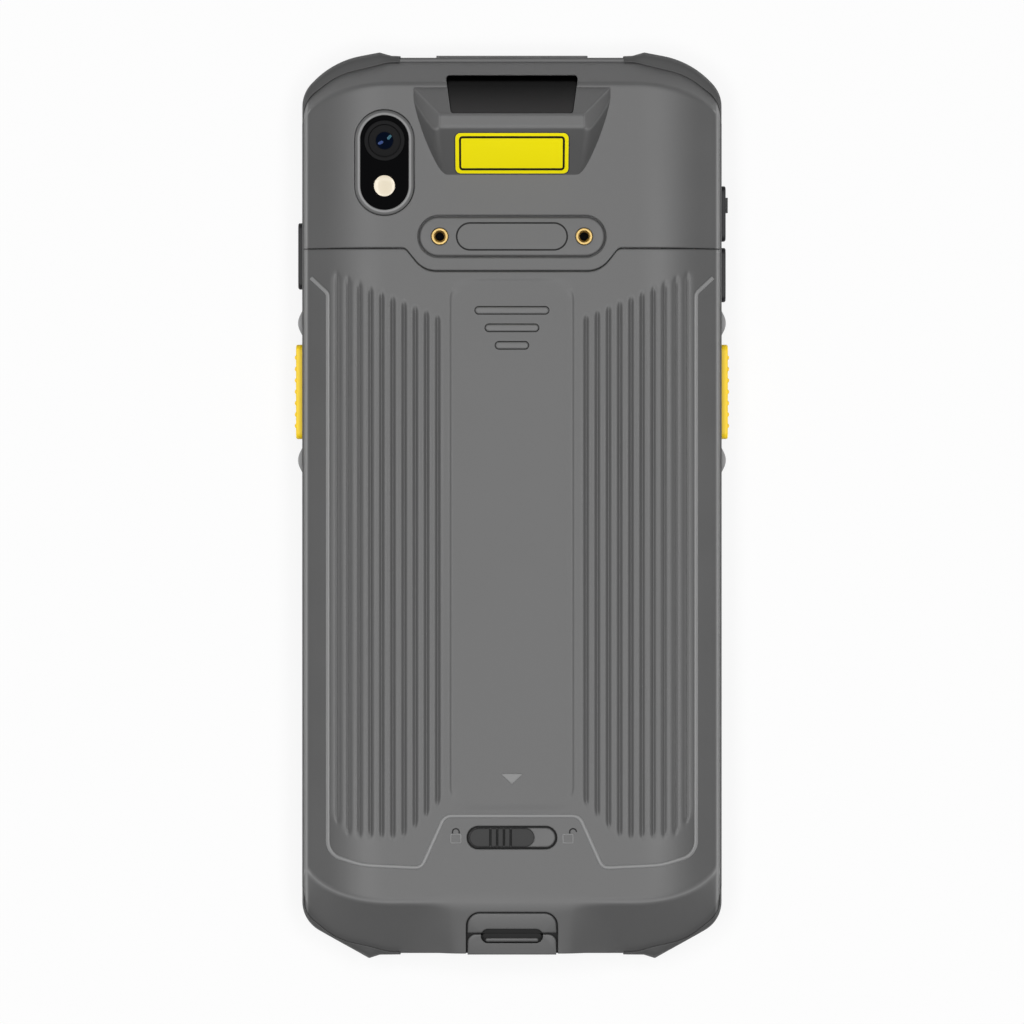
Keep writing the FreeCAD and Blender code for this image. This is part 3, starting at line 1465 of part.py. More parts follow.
# Port cover on its hinge pin; its top follows the chin
chin_at = "({} + (({}) + {}) * {})".format(SEAM, "{}", SHELL_BOTTOM, CHIN_SLOPE)
outer_y, inner_y = f"(-{END})", f"(-{END} + port_cover_reach)"
wall_y = f"(-{END} + port_cover_wall)"
lid_profile = [
    (outer_y, HINGE_Z, None),
    (wall_y, HINGE_Z, None),
    (wall_y, f"{chin_at.format(wall_y)} - port_recess_depth - port_cover_lid", None),
    (inner_y, f"{chin_at.format(inner_y)} - port_recess_depth - port_cover_lid", None),
    (inner_y, f"{chin_at.format(inner_y)} - port_recess_depth", "0.4"),
    (outer_y, f"{chin_at.format(outer_y)} - port_recess_depth", "0.8"),
]
lid = slab("port_lid", lid_profile, "-port_cover_width / 2", "port_cover_width", "YZ_Plane")
barrel_base = ("-port_cover_width / 2", HINGE_Y, HINGE_Z)
barrel = rod("hinge_barrel", barrel_base, "hinge_radius", "port_cover_width", "X")
bore_base = ("-port_cover_width / 2 - 1", HINGE_Y, HINGE_Z)
barrel_bore = rod("barrel_bore", bore_base, "hinge_pin_radius + pin_clearance", "port_cover_width + 2", "X")
port_cover_body = joined("port_cover_body", lid, barrel)
finish("port_cover", without("port_cover_cut", port_cover_body, barrel_bore, nail_slot))
finish("port_cover_pin", rod("port_pin", pin_base, "hinge_pin_radius", pin_length, "X"))

doc.recompute()
failed = [thing.Label for thing in doc.Objects if {"Invalid", "Error"} & set(thing.State)]
failed += [piece.Label for piece in pieces if piece.Shape.isNull() or not piece.Shape.isValid()]
if failed:
    raise RuntimeError(f"not built: {failed}")
os.makedirs("parts", exist_ok=True)
for piece in pieces:
    piece.Shape.exportStep(f"parts/{piece.Label}.step")
    box = piece.Shape.BoundBox
    print(f"{piece.Label}: {len(piece.Shape.Solids)} solid, {piece.Shape.Volume:.1f} mm3, "
          f"z {box.ZMin:.2f} to {box.ZMax:.2f}")
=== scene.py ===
# %% [markdown]
# # A rugged barcode data terminal, seen on its back
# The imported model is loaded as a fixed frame: every moulded part, board and key is there at its
# real size, in metres, with +X to the right, +Y towards the scanner and +Z out of the back.
# What follows gives those parts their finishes, and builds anew the skins whose soft ribs,
# rounded creases and optics are finer than a construction model holds.

# %% Load the frame
import json
import math

import bmesh
import bpy
import numpy as np
from mathutils import Matrix, Vector


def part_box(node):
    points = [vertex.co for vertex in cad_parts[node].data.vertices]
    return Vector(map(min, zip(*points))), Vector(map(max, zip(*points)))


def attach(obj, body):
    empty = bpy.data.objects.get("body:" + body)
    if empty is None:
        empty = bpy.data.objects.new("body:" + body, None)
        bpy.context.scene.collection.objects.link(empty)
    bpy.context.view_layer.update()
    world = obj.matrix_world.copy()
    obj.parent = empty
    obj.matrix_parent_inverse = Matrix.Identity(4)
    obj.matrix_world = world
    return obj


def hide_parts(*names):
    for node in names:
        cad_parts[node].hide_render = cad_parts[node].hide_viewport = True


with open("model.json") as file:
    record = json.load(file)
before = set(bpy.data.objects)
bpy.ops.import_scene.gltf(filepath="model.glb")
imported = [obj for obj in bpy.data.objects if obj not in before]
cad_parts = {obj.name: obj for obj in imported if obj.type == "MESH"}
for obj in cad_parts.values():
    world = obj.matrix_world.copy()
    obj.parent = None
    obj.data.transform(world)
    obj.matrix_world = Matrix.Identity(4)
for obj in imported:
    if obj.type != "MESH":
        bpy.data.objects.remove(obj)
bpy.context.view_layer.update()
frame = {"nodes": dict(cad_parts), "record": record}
nodes = frame["nodes"]
MM = 0.001

# %% [markdown]
# ## Colours and nodes
# A finish is a small tree of shader nodes. One helper adds a node, sets its properties and
# links or fills its sockets, so that each material below reads as a list of what it does.
# Colours are sRGB hex values, as a paint chip would be read, turned to linear light once here.

# %% Colour and node helpers
def linear(hex_colour):
    """sRGB hex to linear RGBA: below 0.04045 a straight line, above it a 2.4 power curve."""
    srgb = [int(hex_colour[i:i + 2], 16) / 255 for i in (1, 3, 5)]
    return (*[c / 12.92 if c <= 0.04045 else ((c + 0.055) / 1.055) ** 2.4 for c in srgb], 1.0)


def add(tree, kind, sockets=None, **settings):
    """Adds one node; sockets maps an input to a value or to another node's output."""
    made = tree.nodes.new(kind)
    for name, value in settings.items():
        setattr(made, name, value)
    for name, value in (sockets or {}).items():
        if isinstance(value, bpy.types.NodeSocket):
            tree.links.new(value, made.inputs[name])
        else:
            made.inputs[name].default_value = value
    return made


def new_material(name):
    """A material with an empty tree but for its output node."""
    made = bpy.data.materials.new(name)
    made.use_nodes = True
    made.node_tree.nodes.clear()
    output = made.node_tree.nodes.new("ShaderNodeOutputMaterial")
    return made, made.node_tree, output


def per_mm(size):
    """A texture scale in metres for features of this size in millimetres."""
    return 1 / (size * MM)


print("mid grey #808080 in linear light", round(linear("#808080")[0], 3))


# %% [markdown]
# ## Moulded plastics and rubbers
# The shells are PC/ABS from a spark-eroded mould: a dull skin with a grain of about a tenth of
# a millimetre. The grain is too fine to show from a metre away, so it is drawn at a quarter of a
# millimetre. A slow cloud of roughness stands for handling, and a touch of paleness along edges,
# part edge wear and part painted highlight, comes from the Bevel node: where its rounded normal
# leaves the true one, an edge is near. A tag on a mesh's points adds painted highlights as well.
# The same tree with other numbers gives the frame, the rubber bumpers, the keys and the bezel.

# %% A moulded finish
GRAIN_DEPTH, CLOUD_SIZE = 0.02, 18.0
CLOUD_FROM, CLOUD_TO, CLOUD_TONE, CLOUD_ROUGHNESS = 0.3, 0.7, 0.03, 0.03
EDGE_STARTS, EDGE_FULL, EDGE_WEAR_AND_HIGHLIGHT = 0.985, 0.85, 0.03
PALER, PALER_BY = 2.1, 0.03


def moulded(name, colour, roughness, grain=0.25, edge=0.25):
    """Matt moulded skin, its grain and edge rounding in mm: colour x cloud, mixed to pale by edge wear
    and painted highlight.

    The paleness is the fall of the dot product of the rounded and the true normal, from EDGE_STARTS
    to EDGE_FULL, plus a tag on the mesh's points, which is 1 where a highlight is painted on a new
    skin's crease or edge, and which also makes some marks pale.
    """
    made, tree, output = new_material(name)
    place = add(tree, "ShaderNodeTexCoord").outputs["Object"]
    grains = add(tree, "ShaderNodeTexNoise", {"Vector": place, "Scale": per_mm(grain), "Detail": 3.0})
    clouds = add(tree, "ShaderNodeTexNoise", {"Vector": place, "Scale": per_mm(CLOUD_SIZE), "Detail": 4.0})
    rounded = add(tree, "ShaderNodeBevel", {"Radius": edge * MM}, samples=6)
    bump = add(tree, "ShaderNodeBump", {
        "Height": grains.outputs["Fac"], "Strength": 0.35, "Distance": GRAIN_DEPTH * MM,
        "Normal": rounded.outputs["Normal"],
    })
    true_normal = add(tree, "ShaderNodeNewGeometry").outputs["True Normal"]
    facing = add(tree, "ShaderNodeVectorMath", {0: rounded.outputs["Normal"], 1: true_normal},
                 operation="DOT_PRODUCT")
    wear_and_highlight = add(tree, "ShaderNodeMapRange", {
        "Value": facing.outputs["Value"], "From Min": EDGE_STARTS, "From Max": EDGE_FULL,
        "To Min": 0.0, "To Max": EDGE_WEAR_AND_HIGHLIGHT,
    })
    # The points' tag: painted highlights along a new skin's creases and edges, and pale marks.
    pale_share = add(tree, "ShaderNodeAttribute", attribute_name="wear_and_highlight")
    paleness = add(tree, "ShaderNodeMath", {
        0: pale_share.outputs["Fac"], 1: wear_and_highlight.outputs["Result"],
    }, operation="ADD", use_clamp=True)
    base = linear(colour)
    pale = tuple(min(1.0, c * PALER + PALER_BY) for c in base[:3]) + (1.0,)
    tone = add(tree, "ShaderNodeMapRange", {
        "Value": clouds.outputs["Fac"], "From Min": CLOUD_FROM, "From Max": CLOUD_TO,
        "To Min": 1 - CLOUD_TONE, "To Max": 1 + CLOUD_TONE,
    })
    shade = add(tree, "ShaderNodeMix", {
        "Factor": 1.0, 6: base, 7: tone.outputs["Result"],
    }, data_type="RGBA", blend_type="MULTIPLY")
    skin = add(tree, "ShaderNodeMix", {
        "Factor": paleness.outputs["Value"], 6: shade.outputs[2], 7: pale,
    }, data_type="RGBA")
    rough = add(tree, "ShaderNodeMapRange", {
        "Value": clouds.outputs["Fac"], "From Min": CLOUD_FROM, "From Max": CLOUD_TO,
        "To Min": roughness - CLOUD_ROUGHNESS, "To Max": roughness + CLOUD_ROUGHNESS,
    })
    shader = add(tree, "ShaderNodeBsdfPrincipled", {
        "Base Color": skin.outputs[2], "Roughness": rough.outputs["Result"],
        "Normal": bump.outputs["Normal"],
    })
    tree.links.new(shader.outputs["BSDF"], output.inputs["Surface"])
    return made


# The back's PC/ABS: mid grey with a soft sheen that draws every slope.
shell_plastic = moulded("spark_grained_grey_abs", "#585858", 0.42, edge=0.3)
# The frame's PC/ABS: the same grey from a coarser mould, a little duller.
frame_plastic = moulded("spark_grained_dark_abs", "#585858", 0.5, edge=0.2)
# TPU moulded over the corners: darker, satin, with a wider grain.
bumper_rubber = moulded("satin_tpu_bumper", "#4a4a4a", 0.6, grain=0.35, edge=0.3)
# The guards beside the scan keys: grey ABS drawn pale, a painted highlight on their raised bumps.
guard_painted_highlight = moulded("guard_abs_painted_highlight", "#8e8e8e", 0.5, edge=0.2)
# The display's bezel: near black ABS, so that it disappears beside the glass.
bezel_plastic = moulded("black_abs_bezel", "#191919", 0.42, edge=0.3)
# Silicone keys: black, and a saturated yellow for the two that start a scan.
black_key = moulded("black_rubber_key", "#1f1f21", 0.55, edge=0.2)
yellow_key = moulded("yellow_rubber_key", "#ffd814", 0.5, edge=0.15)
# The lock's acetal pill: charcoal and chalky, since acetal takes no gloss from use.
slider_plastic = moulded("charcoal_pom_slider", "#303030", 0.68, edge=0.15)
# Painted shade: the same ABS drawn almost black down in a slot, gap or groove, where hardly any light comes.
painted_shade_abs = moulded("painted_shade_black_abs", "#0c0c0c", 0.75, edge=0.1)
# The cover's silicone seal: a black matt cord.
seal_rubber = moulded("black_silicone_seal", "#141414", 0.65, edge=0.1)
# The port's TPU flap: as grey as the shell, with a slight shine.
port_rubber = moulded("grey_tpu_port_cover", "#5c5c5c", 0.45, edge=0.2)
# Epoxy-moulded chips and switches: dull black blocks.
chip_plastic = moulded("black_epoxy_mould", "#141414", 0.5, edge=0.1)
print("moulded finishes", len(bpy.data.materials))

# %% [markdown]
# ## Metals
# Brass inserts are turned, and their tool marks are finer than a pixel: a noise of a fifth of a
# millimetre in their roughness breaks the shine up as the marks do. Stamped steel parts are rolled
# sheet, so the same noise is stretched along one direction. Anodised aluminium is metal under a
# dull grey skin. All three keep the metallic value at 1.

# %% Metal finishes
STREAK_DEPTH, METAL_EDGE, STREAK_SWING = 0.01, 0.12, 0.25


def metal(name, colour, roughness, streak=(1, 1, 1), pitch=0.3):
    """Metal whose roughness is its mean times 1 +- STREAK_SWING, by a noise stretched by streak."""
    made, tree, output = new_material(name)
    place = add(tree, "ShaderNodeTexCoord").outputs["Object"]
    stretched = add(tree, "ShaderNodeMapping", {"Vector": place, "Scale": streak})
    lines = add(tree, "ShaderNodeTexNoise", {
        "Vector": stretched.outputs["Vector"], "Scale": per_mm(pitch), "Detail": 4.0,
    })
    rough = add(tree, "ShaderNodeMapRange", {
        "Value": lines.outputs["Fac"],
        "To Min": roughness * (1 - STREAK_SWING), "To Max": roughness * (1 + STREAK_SWING),
    })
    rounded = add(tree, "ShaderNodeBevel", {"Radius": METAL_EDGE * MM}, samples=6)
    bump = add(tree, "ShaderNodeBump", {
        "Height": lines.outputs["Fac"], "Strength": 0.2, "Distance": STREAK_DEPTH * MM,
        "Normal": rounded.outputs["Normal"],
    })
    shader = add(tree, "ShaderNodeBsdfPrincipled", {
        "Base Color": linear(colour), "Metallic": 1.0, "Roughness": rough.outputs["Result"],
        "Normal": bump.outputs["Normal"],
    })
    tree.links.new(shader.outputs["BSDF"], output.inputs["Surface"])
    return made


# Turned brass: a warm gold ring with a broken shine.
brass = metal("turned_brass", "#b09660", 0.42, pitch=0.2)
# Rolled steel: pale grey with long streaks in its shine.
steel = metal("rolled_steel", "#b9b9bb", 0.35, streak=(1, 0.06, 1))
# Anodised aluminium: a mid grey ring under the camera's new skin.
anodised_ring = metal("anodised_aluminium", "#5a5b5d", 0.35)
print("with metals", len(bpy.data.materials))

# %% [markdown]
# ## Glass, windows and films
# The camera window and the display lens are black-backed glass. It could be clear glass over a
# black sheet, but a black body with a glass's own reflection looks the same and renders sooner.
# Where a part is too dark to mirror anything, such as a lens barrel, its shine comes down too.

# %% Smooth finishes
GLASS_IOR, COAT_ROUGHNESS, SMEAR_SIZE = 1.5, 0.03, 9.0


def polished(name, colour, roughness, coat=0.0, tint="#ffffff", spots=0.02, shine=0.5):
    """A smooth body whose roughness rises by spots where a cloud of finger smears is dense."""
    made, tree, output = new_material(name)
    place = add(tree, "ShaderNodeTexCoord").outputs["Object"]
    clouds = add(tree, "ShaderNodeTexNoise", {"Vector": place, "Scale": per_mm(SMEAR_SIZE), "Detail": 5.0})
    rough = add(tree, "ShaderNodeMapRange", {
        "Value": clouds.outputs["Fac"], "From Min": 0.35, "From Max": 0.65,
        "To Min": roughness, "To Max": roughness + spots,
    })
    shader = add(tree, "ShaderNodeBsdfPrincipled", {
        "Base Color": linear(colour), "Roughness": rough.outputs["Result"], "IOR": GLASS_IOR,
        "Coat Weight": coat, "Coat Roughness": COAT_ROUGHNESS,
        "Specular Tint": linear(tint), "Specular IOR Level": shine,
    })
    tree.links.new(shader.outputs["BSDF"], output.inputs["Surface"])
    return made


# Glass printed black behind: black with a sharp mirror image, for the camera and the display.
dark_glass = polished("black_backed_glass", "#040405", 0.05)
display_glass = polished("printed_cover_glass", "#050506", 0.04, coat=0.5)
# The display switched off: a deep grey sheet.
display_stack = polished("display_stack", "#0a0a0c", 0.1)
# Coated lens glass mirrors blue; under it a blue and a teal spot of painted reflection sit on two small pads.
lens_coating = polished("coated_lens_glass", "#070d1a", 0.03, tint="#6f9cff")
blue_glint = polished("blue_painted_reflection", "#22407c", 0.3, shine=0.2)
teal_glint = polished("teal_painted_reflection", "#265c6c", 0.3, shine=0.2)
# Painted shade at the dark end of a threaded bore: a near-black well where its shade falls. The ridged barrel
# of a lens gives hardly any light back.
bore_shadow = polished("painted_bore_shade", "#050505", 0.7, shine=0.1)
lens_barrel = polished("black_lens_barrel", "#161617", 0.6, shine=0.1)
# The flash's moulded lens over its yellow phosphor: a cream spot.
flash_diffuser = polished("moulded_flash_lens", "#e6dac0", 0.3, coat=0.3)
# Glass-filled nylon modules: black and half shiny.
module_plastic = polished("black_module_mould", "#0c0c0d", 0.35)
# Printed polyester film: flat bright yellow and its line of black ink; round it, a painted shadow.
label_film = polished("printed_yellow_film", "#fff000", 0.4, spots=0.05)
label_ink = polished("black_label_ink", "#141310", 0.4)
label_shadow_paint = polished("label_painted_shadow", "#2c3040", 0.4)
# Circuit boards under solder mask: deep green gloss.
circuit_board = polished("green_solder_mask", "#0e4a24", 0.3)
# Polyimide flexes: amber film.
flex_film = polished("amber_flex_film", "#a8602a", 0.3)
# The battery's shrink film: dark grey, half shiny.
battery_wrap = polished("grey_shrink_film", "#2c2d30", 0.3)


def painted_reflection_filter(name, dark, pale, start, end):
    """Filter acrylic with a painted reflection: its tone runs from dark at start to pale at end of Y."""
    made, tree, output = new_material(name)
    place = add(tree, "ShaderNodeTexCoord").outputs["Object"]
    split = add(tree, "ShaderNodeSeparateXYZ", {"Vector": place})
    along = add(tree, "ShaderNodeMapRange", {
        "Value": split.outputs["Y"], "From Min": start * MM, "From Max": end * MM,
    })
    tone = add(tree, "ShaderNodeMix", {
        "Factor": along.outputs["Result"], 6: linear(dark), 7: linear(pale),
    }, data_type="RGBA")
    shader = add(tree, "ShaderNodeBsdfPrincipled", {
        "Base Color": tone.outputs[2], "Roughness": 0.3, "Specular IOR Level": 0.05,
    })
    tree.links.new(shader.outputs["BSDF"], output.inputs["Surface"])
    return made


# Red-black filter acrylic, black at its far edge, with a painted reflection of dark grey near the label.
scan_filter_painted_reflection = painted_reflection_filter("filter_acrylic_painted_reflection", "#020202", "#383737", 75.6, 70.2)
print("all finishes", len(bpy.data.materials))

# %% [markdown]
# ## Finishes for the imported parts
# The construction model says which material each part is of. One table gives each of those its
# finish here, so parts that are the same stuff on the real object look the same.

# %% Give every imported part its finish
FINISH = {
    "housing_plastic": shell_plastic, "frame_plastic": frame_plastic, "bumper_rubber": bumper_rubber,
    "guard_rubber": guard_painted_highlight, "bezel_plastic": bezel_plastic, "cover_glass": display_glass,
    "display_stack": display_stack, "scan_window": scan_filter_painted_reflection, "dark_glass": dark_glass,
    "seal_rubber": seal_rubber, "label_film": label_film, "brass": brass, "anodised_ring": anodised_ring,
    "clear_lens": lens_coating, "flash_diffuser": flash_diffuser, "module_plastic": module_plastic,
    "black_key": black_key, "yellow_key": yellow_key, "slider_plastic": slider_plastic,
    "port_rubber": port_rubber, "circuit_board": circuit_board, "flex_film": flex_film,
    "steel": steel, "chip_plastic": chip_plastic, "battery_film": battery_wrap,
}
slot_of = {part["node"]: part["material_slot"] for part in frame["record"]["subparts"]}
for name, part in nodes.items():
    part.data.materials.clear()
    part.data.materials.append(FINISH[slot_of[name]])
print("finished parts", len(slot_of))

# %% [markdown]
# ## Surfaces from two parameters
# The moulded skins are drawn as the mould maker draws them: a section carried along the body, a
# slope at each end, and soft steps for ribs. Each is a grid of points worked out as whole arrays,
# with heights that are functions of x and y in millimetres. A Boolean of blocks would give hard
# edges and needs a bevel on every one; a formula gives the roundness for nothing. The first tool
# is a line with rounded corners, which serves as outline, section and path.

# %% Rounded lines
def rounded_line(corners, steps=10, closed=False):
    """Points through corners (x, y, radius), each corner an arc tangent to the runs beside it."""
    count = len(corners)
    points = [] if closed else [np.array(corners[0][:2], float)]
    for i in range(0 if closed else 1, count if closed else count - 1):
        before, here, after = (np.array(corners[(i + k) % count][:2], float) for k in (-1, 0, 1))
        arrive = (here - before) / np.linalg.norm(here - before)
        leave = (after - here) / np.linalg.norm(after - here)
        cross = arrive[0] * leave[1] - arrive[1] * leave[0]
        turn = math.atan2(abs(cross), float(arrive @ leave))
        radius = corners[i][2]
        start = here - arrive * radius * math.tan(turn / 2)
        normal = np.array([-arrive[1], arrive[0]]) * (1 if cross > 0 else -1)
        angles = np.linspace(0, turn, steps if radius else 1)[:, None]
        points.extend(start + normal * radius * (1 - np.cos(angles)) + arrive * radius * np.sin(angles))
    if not closed:
        points.append(np.array(corners[-1][:2], float))
    return np.array(points)


rounded_square = rounded_line([(0, 0, 1), (9, 0, 1), (9, 9, 1), (0, 9, 1)], closed=True)
print("points of a rounded square", len(rounded_square))

# %% [markdown]
# ## Grids and soft steps
# A grid's faces are all quads whose corner numbers follow from rows and columns. Heights are
# blended with two curves: an S that fades a rib out, and a soft minimum that rounds a crease
# between two slopes, as the polished edge of a mould does.

# %% Grids and blends
def quads(rows, columns, start=0, wrap_rows=False, wrap_columns=False, flip=False):
    """Corner numbers of a grid's quads; a wrapped side joins the last line to the first."""
    numbers = start + np.arange(rows * columns).reshape(rows, columns)
    numbers = np.vstack([numbers, numbers[:1]]) if wrap_rows else numbers
    numbers = np.hstack([numbers, numbers[:, :1]]) if wrap_columns else numbers
    found = np.stack([numbers[:-1, :-1], numbers[1:, :-1], numbers[1:, 1:], numbers[:-1, 1:]], -1)
    found = found.reshape(-1, 4)
    return found[:, ::-1] if flip else found


def smooth(share):
    """The S-curve 3t^2 - 2t^3 between 0 and 1."""
    t = np.clip(share, 0.0, 1.0)
    return t * t * (3 - 2 * t)


def softer_of(first, second, width):
    """The lower of two heights, their crease rounded: a quadratic blend where they are within width."""
    near = np.clip(0.5 + 0.5 * (second - first) / width, 0, 1)
    return second * (1 - near) + first * near - width * near * (1 - near)


print("soft minimum of 1 and 1", softer_of(1.0, 1.0, 0.4), "faces of a 3 by 3 grid", len(quads(3, 3)))

# %% [markdown]
# ## From points to a piece
# Points become a mesh in one call. Doubles are merged there, so that poles and seams are closed,
# and edges over 38 degrees stay sharp while the rest shade smooth. A piece then gets its finish
# and the body that it rides on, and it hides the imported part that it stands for.

# %% Meshes and pieces
SHARP_FROM = math.radians(38)


def make_mesh(name, points, faces, wear_and_highlight=None, caps=()):
    """A mesh from points in millimetres, with doubles merged and edges over 38 degrees kept sharp."""
    mesh = bpy.data.meshes.new(name)
    mesh.from_pydata((np.asarray(points).reshape(-1, 3) * MM).tolist(), [], faces.tolist() + list(caps))
    if wear_and_highlight is not None:
        layer = mesh.attributes.new("wear_and_highlight", "FLOAT", "POINT")
        layer.data.foreach_set("value", np.asarray(wear_and_highlight, np.float32).ravel())
    shape = bmesh.new()
    shape.from_mesh(mesh)
    bmesh.ops.remove_doubles(shape, verts=shape.verts, dist=1e-6)
    bmesh.ops.dissolve_degenerate(shape, edges=shape.edges, dist=1e-6)
    shape.to_mesh(mesh)
    shape.free()
    mesh.shade_smooth()
    mesh.set_sharp_from_angle(angle=SHARP_FROM)
    return mesh


def piece(mesh, material, body, slot, *replaced):
    """Puts a finished mesh into the scene, riding on a body, and hides the nodes it stands for."""
    made = bpy.data.objects.new(mesh.name, mesh)
    bpy.context.collection.objects.link(made)
    mesh.materials.clear()
    mesh.materials.append(material)
    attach(made, body)
    if replaced:
        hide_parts(*replaced)
    print(mesh.name, "faces", len(mesh.polygons))
    return made


# %% [markdown]
# ## Closed bodies
# Four kinds of body make every new piece: one between two height grids, a pad with a rounded rim,
# a profile carried along a path, and a profile turned round an axis. Modifiers could make most of
# them, but then each would have its own way of being placed, and these share one.

# %% Bodies between grids, and pads
def solid_between(name, top, bottom, wear_and_highlight=None):
    """A closed body between two grids of the same size, with a wall round their edge."""
    rows, columns = top.shape[:2]
    numbers = np.arange(rows * columns).reshape(rows, columns)
    loop = np.concatenate([numbers[:-1, 0], numbers[-1, :-1], numbers[:0:-1, -1], numbers[0, :0:-1]])
    ahead = np.roll(loop, -1)
    wall = np.stack([loop + rows * columns, ahead + rows * columns, ahead, loop], -1)
    under = quads(rows, columns, rows * columns, flip=True)
    tags = None if wear_and_highlight is None else np.concatenate([wear_and_highlight.ravel(), np.zeros(wear_and_highlight.size)])
    both = np.concatenate([top.reshape(-1, 3), bottom.reshape(-1, 3)])
    return make_mesh(name, both, np.concatenate([quads(rows, columns), under, wall]), tags)


def level(x, y):
    """The flat ground that most pads stand on: no height anywhere."""
    return 0.0 * x


def pad(name, outline, low, high, edge, ground=level, wear_and_highlight=0.0, steps=5):
    """A pad over a closed outline that runs left round: up from low, a quarter circle, a flat top."""
    tangent = np.roll(outline, -1, 0) - np.roll(outline, 1, 0)
    inward = np.stack([-tangent[:, 1], tangent[:, 0]], 1)
    inward /= np.linalg.norm(inward, axis=1)[:, None]
    angles = np.linspace(0, math.pi / 2, steps)
    offsets = np.concatenate([[0.0], edge * (1 - np.cos(angles))])
    heights = np.concatenate([[low], high - edge * (1 - np.sin(angles))])
    rings = outline[None] + inward[None] * offsets[:, None, None]
    z = heights[:, None] + ground(rings[..., 0], rings[..., 1])
    points = np.concatenate([rings, z[..., None]], -1)
    count = len(outline)
    faces = quads(len(offsets), count, wrap_columns=True, flip=True)
    caps = [list(range(count))[::-1], list(range((len(offsets) - 1) * count, len(offsets) * count))]
    return make_mesh(name, points, faces, np.full(points.shape[:2], wear_and_highlight), caps)


# %% Sweeps and turned bodies
def sweep(name, path, profile, ground=level, closed=False, wear_and_highlight=0.0):
    """A closed profile of (outward, up) points carried along a path in x and y, on its ground."""
    ahead = np.roll(path, -1, 0) if closed else np.vstack([path[1:], 2 * path[-1:] - path[-2:-1]])
    behind = np.roll(path, 1, 0) if closed else np.vstack([2 * path[:1] - path[1:2], path[:-1]])
    tangent = ahead - behind
    outward = np.stack([tangent[:, 1], -tangent[:, 0]], 1) / np.linalg.norm(tangent, axis=1)[:, None]
    profile = np.asarray(profile, float)
    plan = path[:, None] + outward[:, None] * profile[None, :, :1]
    z = profile[None, :, 1] + ground(plan[..., 0], plan[..., 1])
    points = np.concatenate([plan, z[..., None]], -1)
    faces = quads(len(path), len(profile), wrap_rows=closed, wrap_columns=True)
    count, total = len(profile), len(path) * len(profile)
    caps = [] if closed else [list(range(count)), list(range(total - count, total))[::-1]]
    tags = np.broadcast_to(np.asarray(wear_and_highlight, float), points.shape[:2])
    return make_mesh(name, points, faces, tags, caps)


def lathe(name, centre, profile, steps=64, wear_and_highlight=0.0):
    """A profile of (radius, height) points turned round an upright axis at centre."""
    profile = np.asarray(profile, float)
    angles = np.linspace(0, 2 * math.pi, steps, endpoint=False)[:, None]
    x = centre[0] + profile[None, :, 0] * np.cos(angles)
    y = centre[1] + profile[None, :, 0] * np.sin(angles)
    points = np.stack([x, y, np.broadcast_to(profile[None, :, 1], x.shape)], -1)
    faces = quads(steps, len(profile), wrap_rows=True, wrap_columns=profile[0, 0] > 0)
    return make_mesh(name, points, faces, np.broadcast_to(np.asarray(wear_and_highlight, float), points.shape[:2]))


# %% Outlines
def rectangle(x, y, half_x, half_y, radius=0.0, steps=6):
    """A closed outline with rounded corners, running left round."""
    signs = ((-1, -1), (1, -1), (1, 1), (-1, 1))
    corners = [(x + i * half_x, y + j * half_y, radius) for i, j in signs]
    return rounded_line(corners, steps, closed=True)


NEARLY_ROUND = 0.999


def stadium(x, y, half_x, half_y, steps=24):
    """A rectangle whose corners almost meet, so that no run between them has no length at all."""
    return rectangle(x, y, half_x, half_y, min(half_x, half_y) * NEARLY_ROUND, steps)


print("points of a stadium", len(stadium(0, 0, 5, 2)))

# %% [markdown]
# ## Cutting
# A slot or a bore has a crisp edge, which a height grid can't follow without a very fine mesh. So
# those are cut: Solidify gives the skin its wall, exact Booleans take the tools out, and the
# result is kept as a plain mesh, with no modifier left on it.

# %% Tools and cuts
def tool_of(mesh):
    """An object for a mesh that is only there to be cut out of another."""
    made = bpy.data.objects.new("tool", mesh)
    bpy.context.collection.objects.link(made)
    return made


def cutter(outline, low, high, ground=level):
    """An upright tool over a closed outline, its two ends parallel to the ground."""
    count = len(outline)
    points = np.concatenate([
        np.column_stack([outline, z + ground(outline[:, 0], outline[:, 1])]) for z in (low, high)
    ])
    caps = [list(range(count))[::-1], list(range(count, 2 * count))]
    return tool_of(make_mesh("tool", points, quads(2, count, wrap_columns=True, flip=True), caps=caps))


def carve(mesh, tools, wall=0.0):
    """Gives a skin its wall, takes the tools out of it, and keeps the result as a plain mesh."""
    body = bpy.data.objects.new("blank", mesh)
    bpy.context.collection.objects.link(body)
    if wall:
        thicken = body.modifiers.new("wall", "SOLIDIFY")
        thicken.thickness, thicken.offset, thicken.use_even_offset = wall * MM, -1.0, True
    for tool in tools:
        cut = body.modifiers.new("cut", "BOOLEAN")
        cut.object, cut.operation, cut.solver = tool, "DIFFERENCE", "EXACT"
    bpy.context.view_layer.update()
    carved = bpy.data.meshes.new_from_object(body.evaluated_get(bpy.context.evaluated_depsgraph_get()))
    for spent in [body] + list(tools):
        bpy.data.objects.remove(spent, do_unlink=True)
    name = mesh.name
    bpy.data.meshes.remove(mesh)
    carved.name = name
    carved.shade_smooth()
    carved.set_sharp_from_angle(angle=SHARP_FROM)
    return carved


# %% [markdown]
# ## The back shell: its section, its ends and its parting seam
# Across its width the back is flat, then bends on a 30 mm arc into a straight slope and turns
# down over a small round at the side. At each end a ruled slope runs from the outline at the
# frame up to a crease that swings towards the middle of the body at the corners. The chin, at
# the socket's end, has a higher rim in its middle and so a flatter face there. The seam between
# housing and battery cover dips in an S on each side round the strap seat. Bevelled blocks could
# give this too, but a height over x and y holds every slope and fold in one formula. It also
# says how near a point is to a fold, which is where a painted highlight makes the skin pale; a
# narrow painted highlight runs along each long side too.

# %% Sizes of the shell, in millimetres
def box_of(name):
    """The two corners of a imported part, in millimetres."""
    return [np.array(corner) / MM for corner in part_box(name)]


